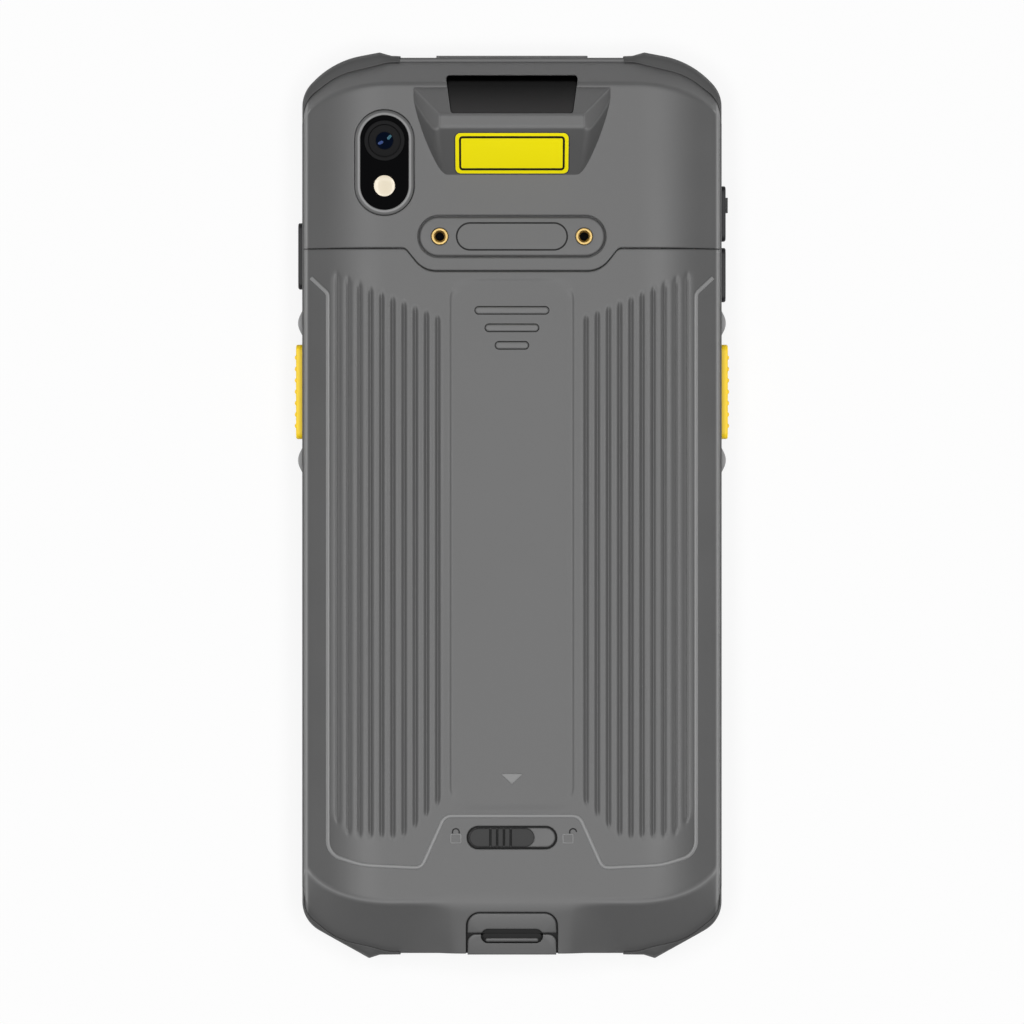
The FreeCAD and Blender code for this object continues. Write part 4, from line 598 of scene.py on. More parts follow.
(_, TONGUE_Y, RIM), (HALF, TOP_END, BACK) = box_of("rear_housing")
FRAME_EAR, END_STEP = 0.4, 0.25
FRAME_END = box_of("mid_frame")[1][1] - FRAME_EAR
BOTTOM_END = FRAME_END - END_STEP
SEAM_Y = frame["record"]["behaviour"]["joints"][0]["pos_m"][1] / MM
CROWN_INSET, CROWN_DROP, CROWN_ROUND, SIDE_ROUND = 9.15, 3.8, 30.0, 1.8
BAND_RUN, CHIN_RUN, BAND_SWING, CHIN_SWING = 4.35, 9.45, 7.5, 8.0
CREASE_FLAT, CREASE_SOFT = 22.0, 0.5
WALL = 1.4
SOCKET_RISE, SOCKET_INNER, SOCKET_OUTER = 4.3, 9.0, 19.5
SIDE_HIGHLIGHT_X, SIDE_HIGHLIGHT_HALF, SIDE_FROM = 37.15, 0.45, 36.5
print("shell", round(HALF, 2), round(TOP_END, 2), round(BOTTOM_END, 2), round(SEAM_Y, 2))


# %% Section across the back
def crown(x):
    """Height of the back over x: flat, then an arc, then a straight slope."""
    tilt = math.atan(CROWN_DROP / CROWN_INSET)
    from_flat = np.abs(x) - (HALF - CROWN_INSET - CROWN_ROUND * math.tan(tilt / 2))
    bend = np.clip(from_flat, 0, CROWN_ROUND * math.sin(tilt))
    beyond = np.clip(from_flat - CROWN_ROUND * math.sin(tilt), 0, None)
    return BACK - CROWN_ROUND + np.sqrt(CROWN_ROUND ** 2 - bend ** 2) - math.tan(tilt) * beyond


print("crown at the middle and the side", round(float(crown(0.0)), 2), round(float(crown(HALF)), 2))


# %% Outlines and creases of the two ends
def end_outline(end):
    """How far the shell reaches at each |x|: flat in the middle, then two bends round the corner."""
    return rounded_line([
        (0.0, end, 0), (HALF - 15.2, end, 8.0), (HALF - 6.0, end - 2.2, 14.0),
        (HALF, end - 7.0, 5.0), (HALF, 0, 0),
    ])[:-1]


TOP_OUTLINE, BOTTOM_OUTLINE = end_outline(TOP_END), end_outline(BOTTOM_END)


def reach(x, outline):
    """The outline's y at |x|, read off between its points."""
    return np.interp(np.abs(x), outline[:, 0], outline[:, 1])


def crease(x, end, run, swing):
    """Distance of an end's crease: level in the middle, then a quarter ellipse that swings inwards."""
    out = np.clip((np.abs(x) - CREASE_FLAT) / (HALF - CREASE_FLAT), 0, 1)
    return end - run - swing * (1 - np.sqrt(1 - out ** 2))


def top_crease(x):
    """Where the back folds down to the scanner end."""
    return crease(x, TOP_END, BAND_RUN, BAND_SWING)


def chin_crease(x):
    """Where the back folds down to the socket end, on the other side of the middle."""
    return -crease(x, BOTTOM_END, CHIN_RUN, CHIN_SWING)


print("creases in the middle at", round(float(top_crease(0.0)), 2), round(float(chin_crease(0.0)), 2))


# %% Height of the whole shell
def slope_up(x, y, edge, fold, foot=RIM):
    """Ruled from the outline at the foot's height to the crease at the crown's height."""
    return foot + (crown(x) - foot) * (y - edge) / (fold - edge)


def rim_height(x):
    """The chin's lower edge is higher in the middle, where the socket needs room: a flatter face."""
    return RIM + SOCKET_RISE * smooth((SOCKET_OUTER - np.abs(x)) / (SOCKET_OUTER - SOCKET_INNER))


def shell_height(x, y, across=None):
    """The lowest of back and end slopes, creases softened; also a painted highlight at each point, 0 to 1."""
    across = crown(x) if across is None else across
    band = slope_up(x, y, reach(x, TOP_OUTLINE), top_crease(x))
    chin = slope_up(x, y, -reach(x, BOTTOM_OUTLINE), chin_crease(x), rim_height(x))
    ends = np.minimum(band, chin)
    z = softer_of(across, ends, CREASE_SOFT)
    wear_and_highlight = (np.minimum(across, ends) - z) / (CREASE_SOFT / 4)
    # A narrow painted highlight along each long side of the shell.
    side = smooth(1 - np.abs(np.abs(x) - SIDE_HIGHLIGHT_X) / SIDE_HIGHLIGHT_HALF)
    return np.maximum(z, RIM), np.clip(np.maximum(wear_and_highlight, side), 0, 1)


print("height at the middle", round(float(shell_height(0.0, 0.0)[0]), 2))

# %% Seam, side walls and rows
SEAM_LINE = rounded_line([
    (0, TONGUE_Y, 0), (15.9, TONGUE_Y, 4.8), (19.2, SEAM_Y, 1.2), (HALF + 1, SEAM_Y, 0),
])


def seam(x):
    """The seam's y at |x|, read off between its points."""
    return np.interp(np.abs(x), SEAM_LINE[:, 0], SEAM_LINE[:, 1])


def lip(distance, radius=0.3):
    """How far an edge has turned down at a distance from it, on a quarter circle."""
    return radius - np.sqrt(radius ** 2 - np.clip(radius - distance, 0, radius) ** 2)


SIDE = rounded_line([
    (HALF, RIM, 0), (HALF, BACK - CROWN_DROP, SIDE_ROUND), (HALF - CROWN_INSET, BACK, 0),
], 9)[:-1]


def section_columns(inner):
    """Columns of a shell grid: wall and round at each side, and the given x between them."""
    x = np.concatenate([-SIDE[:, 0], inner, SIDE[::-1, 0]])
    z = np.concatenate([SIDE[:, 1], crown(inner), SIDE[::-1, 1]])
    return x, z


def zones(*stops):
    """Rows of y from stop to stop, each stop being (y over x, rows up to it)."""
    parts = [stops[0][0][:, None]]
    for (start, _), (end, count) in zip(stops, stops[1:]):
        parts.append(start[:, None] + (end - start)[:, None] * np.linspace(0, 1, count + 1)[None, 1:])
    return np.concatenate(parts, 1)


# %% [markdown]
# ## Battery cover
# A large injection-moulded lid. Ten soft grooves on each side give the hand a hold; they fade out
# at both ends along a slanting line. The middle is a very shallow panel. The columns of the grid
# stand where the grooves need them, so that a groove costs nine columns and not a fine mesh
# everywhere. Slot, port recess and nail pocket have crisp edges, so they are cut afterwards with
# Boolean tools, once Solidify has given the skin its wall.

# %% Ribs and panel
RIB_COUNT, RIB_PITCH, RIB_FIRST, RIB_HALF, RIB_DEPTH = 10, 2.02, 13.35, 0.64, 0.36
FIELD_TOP = [(12.0, 34.1), (33.0, 42.77)]
FIELD_BOTTOM = rounded_line([(12, -53, 0), (19.5, -60.6, 5), (29.5, -59.8, 4), (33.5, -54.9, 0)])
RIB_FADE = 1.5
PANEL_MIDDLE, PANEL_HALF, PANEL_ROUND, PANEL_DEPTH = -6.85, (11.05, 47.45), 3.6, 0.18


def rib_depth(x, y):
    """Depth of the grooves: t^1.5 from each groove's edge to its middle, faded at the field's ends."""
    a = np.abs(x)
    nearest = RIB_FIRST + RIB_PITCH * np.clip(np.round((a - RIB_FIRST) / RIB_PITCH), 0, RIB_COUNT - 1)
    wall = np.clip(1 - np.abs(a - nearest) / RIB_HALF, 0, 1) ** 1.5
    top = np.interp(a, *zip(*FIELD_TOP)) - y
    bottom = y - np.interp(a, FIELD_BOTTOM[:, 0], FIELD_BOTTOM[:, 1])
    return RIB_DEPTH * wall * smooth(top / RIB_FADE) * smooth(bottom / RIB_FADE)


def panel_depth(x, y):
    """Depth of the middle panel, by the distance to its rounded outline."""
    dx = np.abs(x) - PANEL_HALF[0] + PANEL_ROUND
    dy = np.abs(y - PANEL_MIDDLE) - PANEL_HALF[1] + PANEL_ROUND
    outside = np.hypot(np.maximum(dx, 0), np.maximum(dy, 0)) + np.minimum(np.maximum(dx, dy), 0) - PANEL_ROUND
    return PANEL_DEPTH * smooth(0.5 - outside / 0.5)


# %% Cover skin
SEAM_GAP, LIP_RUN = 0.05, 0.4
RIBS_FROM, RIBS_TO = -48.0, 33.0
CHIN_HIGHLIGHT, GENTLE_HIGHLIGHT = 0.75, 0.6
panel_columns = [0, 2.5, 5, 7.5, 9.5, 10.7, 10.9, 11.05, 11.2, 11.4, 12.1]
rib_middles = RIB_FIRST + RIB_PITCH * np.arange(RIB_COUNT)[:, None]
rib_columns = (rib_middles + RIB_HALF * np.linspace(-1, 1, 9)).ravel()
half_columns = np.concatenate([panel_columns, rib_columns, [33, 34, 35, 36]])
cover_x, cover_section = section_columns(np.concatenate([-half_columns[:0:-1], half_columns]))
cover_end, edge = -reach(cover_x, BOTTOM_OUTLINE), seam(cover_x) - SEAM_GAP
cover_y = zones(
    (cover_end, 0), (cover_end, 1), (chin_crease(cover_x), 24), (np.full_like(cover_x, RIBS_FROM), 46),
    (np.full_like(cover_x, RIBS_TO), 30), (edge - LIP_RUN, 26), (edge, 6),
)
x = np.broadcast_to(cover_x[:, None], cover_y.shape)
z, wear_and_highlight = shell_height(x, cover_y, cover_section[:, None])
z = z - rib_depth(x, cover_y) - panel_depth(x, cover_y) - lip(edge[:, None] - cover_y)
z[:, 0] = RIM
# Painted highlight on the cover: full along the long sides, weaker on the chin's crease, and weaker still
# where the chin is flatter.
gentle = (rim_height(x) - RIM) / SOCKET_RISE
on_chin = wear_and_highlight * (cover_y < 0) * (CHIN_HIGHLIGHT - GENTLE_HIGHLIGHT * gentle)
cover_highlight = np.where(np.abs(x) > SIDE_FROM, wear_and_highlight, on_chin)
skin = make_mesh("battery_cover_skin", np.stack([x, cover_y, z], -1), quads(*x.shape), cover_highlight)


# %% Openings of the cover
def chin_plane(x, y):
    """The chin's height where it is flat, in the middle of the body."""
    foot = RIM + SOCKET_RISE
    return foot + (BACK - foot) * (y + BOTTOM_END) / CHIN_RUN + 0.0 * x


def port_outline(half, top, radius, bottom, steps=8):
    """An outline with only its upper corners rounded, since it runs out over the edge below."""
    corners = [(-half, bottom, 0), (half, bottom, 0), (half, top, radius), (-half, top, radius)]
    return rounded_line(corners, steps, closed=True)


def nail_cut(low, high):
    """The tool for the nail pocket, between two heights over the chin."""
    return cutter(stadium(0, NAIL_Y, *NAIL_HALF), low, high, chin_plane)


lock_low, lock_high = box_of("lock_slider")
LOCK_Y = (lock_low[1] + lock_high[1]) / 2
SLOT_HALF, SLOT_FLOOR = (8.15, 2.1), BACK - 0.8
PORT_HALF, PORT_TOP, PORT_ROUND, PORT_DEPTH, PORT_GAP = 8.3, -73.2, 2.5, 0.9, 0.3
NAIL_Y, NAIL_HALF, NAIL_DEPTH = -77.65, (5.6, 1.3), 0.5
LID_TOP, LID_INSIDE, CLEAR = -77.2, 0.02, 3.0
lid_y = (-85.0 + LID_TOP) / 2
cover_mesh = carve(skin, [
    cutter(stadium(0, LOCK_Y, *SLOT_HALF), SLOT_FLOOR, BACK + 1),
    cutter(port_outline(PORT_HALF, PORT_TOP, PORT_ROUND, -FRAME_END - 2, 10), -PORT_DEPTH, CLEAR, chin_plane),
    nail_cut(-PORT_DEPTH - NAIL_DEPTH, CLEAR),
    cutter(rectangle(0, lid_y, PORT_HALF - LID_INSIDE, LID_TOP - lid_y), 0.0, 30.0),
], WALL)
piece(cover_mesh, shell_plastic, "cover", "housing_plastic", "battery_cover")

# %% [markdown]
# ## Marks on the cover
# A raised bead frames the ribs and steps up over the lock. It is drawn paler than the skin.
# It could be an embossed texture, but a real bead casts the small shadow that makes it read as
# raised. Three bars and an arrow show which way the lid swings: they are low pads, each bar in a
# fine gap painted near black as its shade. Two padlock outlines show which way the slider locks.

# %% Bead
BEAD_HALF, BEAD_HEIGHT = 0.35, 0.2
half_bead = [
    (36.3, 41.1, 0), (33.2, 38.2, 1.2), (33.2, -62.9, 3.2), (27.0, -64.75, 14.0), (16.3, -65.25, 1.6),
    (12.1, -55.9, 1.8),
]


def evenly(line, count):
    """The line again as count points at equal steps along it."""
    travelled = np.concatenate([[0], np.cumsum(np.linalg.norm(np.diff(line, axis=0), axis=1))])
    steps = np.linspace(0, travelled[-1], count)
    return np.stack([np.interp(steps, travelled, line[:, k]) for k in (0, 1)], 1)


def crowned(x, y):
    """The back as a ground to stand on."""
    return crown(x)


mirrored = [(-x, y, radius) for x, y, radius in half_bead]
bead_path = evenly(rounded_line(mirrored + half_bead[::-1], 14), 520)
turn = np.linspace(0, 2 * math.pi, 14, endpoint=False)
bead_profile = np.stack([BEAD_HALF * np.cos(turn), BEAD_HEIGHT * np.sin(turn)], 1)
bead = sweep("cover_bead", bead_path, bead_profile, crowned, wear_and_highlight=1.0)
piece(bead, shell_plastic, "cover", "housing_plastic")

# %% Grip bars and arrow
BAR_TOP, BAR_PITCH, BAR_LENGTH, BAR_SHORTER, BAR_WIDTH, BAR_GAP = 35.1, 3.15, 13.2, 3.65, 1.25, 0.16
MARK_LOW, BAR_HIGH, GAP_HIGH = BACK - 0.6, BACK + 0.12, BACK - PANEL_DEPTH + 0.015
for i in range(3):
    place, half_x, half_y = BAR_TOP - i * BAR_PITCH, (BAR_LENGTH - i * BAR_SHORTER) / 2, BAR_WIDTH / 2
    bar = pad(f"grip_bar_{i + 1}", stadium(0, place, half_x, half_y), MARK_LOW, BAR_HIGH, 0.2, wear_and_highlight=0.15)
    piece(bar, shell_plastic, "cover", "housing_plastic")
    # A near-black pad round each bar paints the shade in its gap.
    around = stadium(0, place, half_x + BAR_GAP, half_y + BAR_GAP)
    gap = pad(f"grip_bar_gap_{i + 1}", around, MARK_LOW, GAP_HIGH, 0.01)
    piece(gap, painted_shade_abs, "cover", "housing_plastic")
ARROW_Y, ARROW_HALF, ARROW_DEPTH, ARROW_ROUND, ARROW_HIGH = -48.25, 2.15, 2.0, 0.2, BACK - 0.02
arrow_outline = rounded_line([
    (0, ARROW_Y - ARROW_DEPTH, ARROW_ROUND), (ARROW_HALF, ARROW_Y, ARROW_ROUND),
    (-ARROW_HALF, ARROW_Y, ARROW_ROUND),
], 5, closed=True)
arrow = pad("arrow", arrow_outline, MARK_LOW, ARROW_HIGH, 0.06, wear_and_highlight=0.75)
piece(arrow, shell_plastic, "cover", "housing_plastic")

# %% Padlocks
LINE_HALF_WIDTH = 0.12
MARK_PROFILE = [
    (side * LINE_HALF_WIDTH, BACK + height) for side, height in ((-1, -0.3), (1, -0.3), (1, 0.02), (-1, 0.02))
]
BODY_MIDDLE, BODY_HALF = -0.175, (0.9, 0.775)
SHACKLE_HALF, SHACKLE_FOOT, SHACKLE_OPEN_FOOT = (0.6, 0.55), 0.72, 1.0


def padlock(name, x, swing):
    """A square body in outline, and half an ellipse of a shackle, moved sideways when open."""
    body = rectangle(x, LOCK_Y + BODY_MIDDLE, *BODY_HALF, 0.15, 4)
    arc = np.linspace(math.pi, 0, 15)
    arch_x = x + swing + SHACKLE_HALF[0] * np.cos(arc)
    arch_y = LOCK_Y + 1.05 + SHACKLE_HALF[1] * np.sin(arc)
    far_foot = SHACKLE_OPEN_FOOT if swing else SHACKLE_FOOT
    near_end, far_end = [arch_x[0], LOCK_Y + SHACKLE_FOOT], [arch_x[-1], LOCK_Y + far_foot]
    shackle = np.vstack([near_end, np.stack([arch_x, arch_y], 1), far_end])
    piece(sweep(f"{name}_body", body, MARK_PROFILE, closed=True, wear_and_highlight=1.0), shell_plastic, "cover",
          "housing_plastic")
    # The shackle's line is drawn in near black, as painted shade.
    piece(sweep(f"{name}_shackle", shackle, MARK_PROFILE), painted_shade_abs, "cover", "housing_plastic")


padlock("closed_padlock", -10.1, 0.0)
padlock("open_padlock", 10.1, 0.9)

# %% [markdown]
# ## Lock slider
# A pill of acetal in a slot with a grey floor and a gap round it painted black as its shade,
# with three ribs between four grooves for the finger. The pill is a pad; its grooves are cut,
# because they are straight and crisp, and a black plate under them paints the shade at their
# bottoms.

# %% Slot floor and slider
SLOT_INSET, GAP_INSET, SLOT_SUNK, FLOOR_RISE = 0.36, 0.02, 0.1, 0.3
gap_line = stadium(0, LOCK_Y, SLOT_HALF[0] - GAP_INSET, SLOT_HALF[1] - GAP_INSET)
slot_gap = pad("lock_slot_gap", gap_line, SLOT_FLOOR - SLOT_SUNK, SLOT_FLOOR + 0.06, 0.03)
piece(slot_gap, painted_shade_abs, "cover", "slider_plastic")
floor_line = stadium(0, LOCK_Y, SLOT_HALF[0] - SLOT_INSET, SLOT_HALF[1] - SLOT_INSET)
slot_floor = pad("lock_slot_floor", floor_line, SLOT_FLOOR - SLOT_SUNK, SLOT_FLOOR + FLOOR_RISE, 0.15)
piece(slot_floor, shell_plastic, "cover", "housing_plastic")
SLIDER_X = (lock_low[0] + lock_high[0]) / 2
PILL_X, PILL_HALF, PILL_LOW, PILL_HIGH = SLIDER_X + 0.1, (5.85, 1.68), SLOT_FLOOR + 0.34, BACK + 0.05
slider_blank = pad("lock_slider_skin", stadium(PILL_X, LOCK_Y, *PILL_HALF), PILL_LOW, PILL_HIGH, 0.2)
GROOVES_X, GROOVE_PITCH, GROOVE_HALF, GROOVE_FLOOR = SLIDER_X - 0.15, 1.22, 0.21, BACK - 0.4
grooves = [
    cutter(rectangle(GROOVES_X + step * GROOVE_PITCH, LOCK_Y, GROOVE_HALF, 2.0), GROOVE_FLOOR, BACK + 1)
    for step in (-1.5, -0.5, 0.5, 1.5)
]
piece(carve(slider_blank, grooves), slider_plastic, "lock", "slider_plastic", "lock_slider")
backing = rectangle(GROOVES_X, LOCK_Y, 2.3, 1.45, 0.1)
groove_shade_plate = pad("lock_slider_grooves", backing, GROOVE_FLOOR - 0.05, GROOVE_FLOOR + 0.02, 0.01)
piece(groove_shade_plate, painted_shade_abs, "lock", "slider_plastic")

# %% [markdown]
# ## Rear housing
# The upper half of the back. Its grid starts on the S of the seam and ends on the outline, with
# the camera's opening, the strap seat and the scanner window cut through it. It is its own grid
# and not a part of the cover's, because the two move apart and meet at the seam only.

# %% Housing skin
HOUSING_GAP, TOP_HIGHLIGHT = 0.02, 0.15
housing_x, housing_section = section_columns(np.linspace(-36.2, 36.2, 220))
edge = seam(housing_x) + HOUSING_GAP
housing_y = zones(
    (edge, 0), (edge + LIP_RUN, 6), (np.full_like(housing_x, 60.0), 24), (top_crease(housing_x), 28),
    (reach(housing_x, TOP_OUTLINE), 18),
)
x = np.broadcast_to(housing_x[:, None], housing_y.shape)
z, wear_and_highlight = shell_height(x, housing_y, housing_section[:, None])
z = z - lip(housing_y - edge[:, None])
# Painted highlight on the housing: full along the long sides, faint along the top crease.
housing_highlight = np.where(np.abs(x) > SIDE_FROM, wear_and_highlight, wear_and_highlight * TOP_HIGHLIGHT)
skin = make_mesh("rear_housing_skin", np.stack([x, housing_y, z], -1), quads(*x.shape), housing_highlight)

# %% Openings of the housing
CAMERA_X, LENS_Y, FLASH_Y = -22.94, 65.65, 57.5
camera_low, camera_high = box_of("camera_window")
CAMERA_Y = (camera_low[1] + camera_high[1]) / 2
GLASS_HALF = (camera_high - camera_low)[:2] / 2
RING_WIDTH, RING_GAP = 1.0, 0.07
strap_low, strap_high = box_of("strap_plate")
STRAP_Y, SEAT_HALF, SEAT_DEPTH = (strap_low[1] + strap_high[1]) / 2, (17.0, 3.85), 0.9
INSERT_HALF_GAP, INSERT_RADIUS, INSERT_BORE, INSERT_PLAY = 13.0, 1.55, 0.8, 0.02
WINDOW_SLOPE, WINDOW_NEAR, WINDOW_FAR, WINDOW_TAPER = 1.268, 70.1, 77.6, 1.05
WINDOW_HALF = box_of("scan_window_gasket")[1][0]
THROUGH = (5.0, 30.0)


def window_outline(grow=0.0):
    """The scanner window seen from above, wider at its far edge."""
    wide, narrow = WINDOW_HALF + grow, WINDOW_HALF - WINDOW_TAPER + grow
    return rounded_line([
        (-narrow, WINDOW_NEAR - grow, 0.5), (narrow, WINDOW_NEAR - grow, 0.5), (wide, WINDOW_FAR + grow, 0.7),
        (-wide, WINDOW_FAR + grow, 0.7),
    ], 6, closed=True)


def window_plane(x, y):
    """The plane of the scanner window and of the hood around it."""
    return RIM + (TOP_END - y) * WINDOW_SLOPE


def window_cut():
    """The tool for the scanner window, square to the plane's ground."""
    return cutter(window_outline(), -6.0, 8.0, window_plane)


INSERT_PLACES = {"left": (-INSERT_HALF_GAP, STRAP_Y), "right": (INSERT_HALF_GAP, STRAP_Y)}


def insert_cuts():
    """Tools for the bores that the two threaded inserts sit in."""
    radius = INSERT_RADIUS + INSERT_PLAY
    return [cutter(stadium(*place, radius, radius), *THROUGH) for place in INSERT_PLACES.values()]


ring_half = GLASS_HALF + RING_WIDTH + RING_GAP
housing_mesh = carve(skin, [
    cutter(stadium(CAMERA_X, CAMERA_Y, *ring_half), *THROUGH),
    cutter(stadium(0, STRAP_Y, *SEAT_HALF), BACK - SEAT_DEPTH, BACK + 1),
    window_cut(),
    *insert_cuts(),
], WALL)
piece(housing_mesh, shell_plastic, "frame", "housing_plastic", "rear_housing")

# %% [markdown]
# ## Scanner hood
# The hood is a wedge: a window face that continues the top slope, a narrow flat ridge, a lower
# face for the label, steep cheeks and a chamfer between cheek and window. Each face is a plane,
# and the hood is the lowest of the planes at every point, with each crease softened. The window's
# pane is a tapered pad that lies parallel to its face, a little below it.

# %% Hood skin
HOOD_TOP = box_of("scanner_hood")[1][2]
HOOD_FOOT, LOWER_SLOPE = 59.5, 0.835
CHEEK_X, CHEEK_Y, CHEEK_RUN, CHEEK_BOW, CHEEK_SLOPE = 17.8, 73.3, 0.2, 0.0132, 2.45
CHAMFER_SLOPE, HOOD_SOFT, CORNER_SOFT = 1.38, 0.4, 2.2
HOOD_HALF, HOOD_FROM, HOOD_TO = 18.4, 58.7, 78.0
TAIL_DROP, TAIL_FROM, TAIL_RUN = 0.5, 75.6, 1.2
SKIRT_SINK, SKIRT_DEPTH, HOOD_HIGHLIGHT = 0.35, 0.8, 0.5


def lower_face(x, y):
    """The plane of the label, rising from the back towards the ridge."""
    return BACK + (y - HOOD_FOOT) * LOWER_SLOPE


def hood_height(x, y):
    """The lowest of the hood's planes at each point, and how near it is to a crease, where a highlight is
    painted.
    """
    a = np.abs(x)
    below = np.clip(CHEEK_Y - y, 0, None)
    inward = CHEEK_X - CHEEK_RUN * below - CHEEK_BOW * below ** 2 - a
    z = softer_of(lower_face(x, y), BACK + CHEEK_SLOPE * inward, CORNER_SOFT)
    wear_and_highlight = np.zeros_like(z)
    for plane in (BACK + CHAMFER_SLOPE * (CHEEK_X - a), np.full_like(z, HOOD_TOP), window_plane(x, y)):
        softened = softer_of(z, plane, HOOD_SOFT)
        wear_and_highlight = np.maximum(wear_and_highlight * (softened == z), (np.minimum(z, plane) - softened) / (HOOD_SOFT / 4))
        z = softened
    return z, np.clip(wear_and_highlight, 0, 1)


hood_x, hood_y = np.meshgrid(
    np.linspace(-HOOD_HALF, HOOD_HALF, 210), np.linspace(HOOD_FROM, HOOD_TO, 112), indexing="ij")
hood_z, wear_and_highlight = hood_height(hood_x, hood_y)
ground_z, _ = shell_height(hood_x, hood_y)
hood_z = np.maximum(hood_z - TAIL_DROP * smooth((hood_y - TAIL_FROM) / TAIL_RUN), ground_z - SKIRT_SINK)
hood_top = np.dstack([hood_x, hood_y, hood_z])
hood_bottom = np.dstack([hood_x, hood_y, ground_z - SKIRT_DEPTH])
hood_blank = solid_between("scanner_hood_skin", hood_top, hood_bottom, wear_and_highlight * HOOD_HIGHLIGHT)
piece(carve(hood_blank, [window_cut()]), shell_plastic, "frame", "housing_plastic", "scanner_hood")

# %% Window pane
PANE_DROP, PANE_THICK, PANE_GAP = 0.45, 1.1, 0.05
pane_line = window_outline(-PANE_GAP)
pane = pad("scan_window_pane", pane_line, -PANE_DROP - PANE_THICK, -PANE_DROP, 0.1, window_plane)
piece(pane, scan_filter_painted_reflection, "frame", "scan_window", "scan_window", "scan_window_gasket")

# %% [markdown]
# ## Label
# A yellow film with a black border line lies on the hood's lower face, bare inside the line.
# It could be a picture on a plane, but three thin solids keep a crisp edge at any distance: a
# dark rim of painted shadow round the film, the film, and the line, which is a band swept round a rectangle.

# %% Label film and its border line
LABEL_Y, LABEL_X_HALF, LABEL_Y_HALF, LABEL_ROUND, LABEL_SUNK = 63.15, 10.15, 3.45, 0.9, -0.2
LINE_HALF, LINE_HIGH = 0.19, 0.1
shadow_line = rectangle(0, LABEL_Y, LABEL_X_HALF + 0.18, LABEL_Y_HALF + 0.14, LABEL_ROUND + 0.15)
film_line = rectangle(0, LABEL_Y, LABEL_X_HALF, LABEL_Y_HALF, LABEL_ROUND)
border_line = rectangle(0, LABEL_Y, LABEL_X_HALF - 0.85, LABEL_Y_HALF - 0.72, 0.45)
line_profile = [(-LINE_HALF, 0.0), (LINE_HALF, 0.0), (LINE_HALF, LINE_HIGH), (-LINE_HALF, LINE_HIGH)]
shadow_rim = pad("label_shadow_edge", shadow_line, LABEL_SUNK, 0.03, 0.02, lower_face)
film = pad("label_film", film_line, LABEL_SUNK, 0.08, 0.04, lower_face)
border = sweep("label_border", border_line, line_profile, lower_face, closed=True)
piece(shadow_rim, label_shadow_paint, "frame", "label_film")
piece(film, label_film, "frame", "label_film", "label_plate")
piece(border, label_ink, "frame", "label_film")

# %% [markdown]
# ## Strap mount
# A stadium plate in a seat, with a soft edge that draws the dark groove round it, an inlay in its
# middle and a brass insert at each end. The inlay's gap could be cut, but it is finer than the
# plate's own mesh, so a fine ring a hundredth of a millimetre proud draws it, painted near black
# as the gap's shade. The inserts are turned: a profile spun round the bore, chamfered inside and
# out, over a well painted black as the bore's shade.

# %% Strap plate and inserts
PLATE_TOP, PLATE_GAP, GAP_HALF = BACK - 0.03, 0.28, 0.15
plate_line = stadium(0, STRAP_Y, SEAT_HALF[0] - PLATE_GAP, SEAT_HALF[1] - PLATE_GAP, 32)
plate = pad("strap_plate_skin", plate_line, BACK - SEAT_DEPTH, PLATE_TOP, 0.4)
piece(carve(plate, insert_cuts()), shell_plastic, "frame", "housing_plastic", "strap_plate")
gap_profile = [
    (side * GAP_HALF, PLATE_TOP + height) for side, height in ((-1, -0.3), (1, -0.3), (1, 0.012), (-1, 0.012))
]
inlay_gap = sweep("strap_inlay_gap", stadium(0, STRAP_Y, 9.95, 2.42, 32), gap_profile, closed=True)
piece(inlay_gap, painted_shade_abs, "frame", "housing_plastic")

# %% Inserts and the wells in them
INSERT_DEPTH, INSERT_PROUD, WELL_LOW, WELL_HIGH = 4.0, 0.02, BACK - 3.9, BACK - 2.4
insert_profile = [
    (INSERT_BORE, BACK - INSERT_DEPTH), (INSERT_RADIUS, BACK - INSERT_DEPTH), (INSERT_RADIUS, BACK - 0.1),
    (INSERT_RADIUS - 0.12, BACK + INSERT_PROUD), (INSERT_BORE + 0.3, BACK + INSERT_PROUD),
    (INSERT_BORE, BACK - 0.25),
]
left_insert = lathe("strap_insert_left", INSERT_PLACES["left"], insert_profile)
right_insert = lathe("strap_insert_right", INSERT_PLACES["right"], insert_profile)
piece(left_insert, brass, "frame", "brass", "strap_inserts")
piece(right_insert, brass, "frame", "brass")
for name, place in INSERT_PLACES.items():
    # Painted shade: a near-black well at the bottom of each bore.
    well = pad(f"insert_well_{name}", stadium(*place, INSERT_BORE, INSERT_BORE), WELL_LOW, WELL_HIGH, 0.05)
    piece(well, bore_shadow, "frame", "module_plastic")

# %% [markdown]
# ## Camera and flash
# One black glass pill carries both. A ring of the shell's own plastic frames it, with a painted
# highlight along its bevel. Under the glass the lens sits in a stepped well: a cone, a flat
# and a small domed front element. All of these are turned profiles, as the real ones are. The
# coating's blue and teal reflections depend on lamps that a small render hasn't got, so two
# coloured pads of their own paint them in.

# %% Ring and lens well
glass_line = stadium(CAMERA_X, CAMERA_Y, *GLASS_HALF, 32)
ring_section = [
    (0.0, -1.4, 0), (RING_WIDTH, -1.4, 0), (RING_WIDTH, -0.25, 0), (RING_WIDTH - 0.1, -0.02, 0.1),
    (0.55, 0.12, 0.3), (0.4, 0.2, 1.0), (0.12, 0.2, 1.0), (0.0, 0.08, 0.6),
]
ring_profile = [(out, BACK + up) for out, up, _ in ring_section]
ring_highlight = np.array([pale_share for _, _, pale_share in ring_section])
ring = sweep("camera_ring", glass_line, ring_profile, closed=True, wear_and_highlight=ring_highlight)
piece(ring, shell_plastic, "frame", "anodised_ring", "camera_bezel")
LENS_TOP = BACK + 0.13
well_section = [
    (0.0, -1.0), (3.68, -1.0), (3.68, -0.1), (3.6, 0.02), (3.1, 0.07), (2.95, 0.02), (2.85, -0.6),
    (2.0, -0.75), (0.0, -0.75),
]
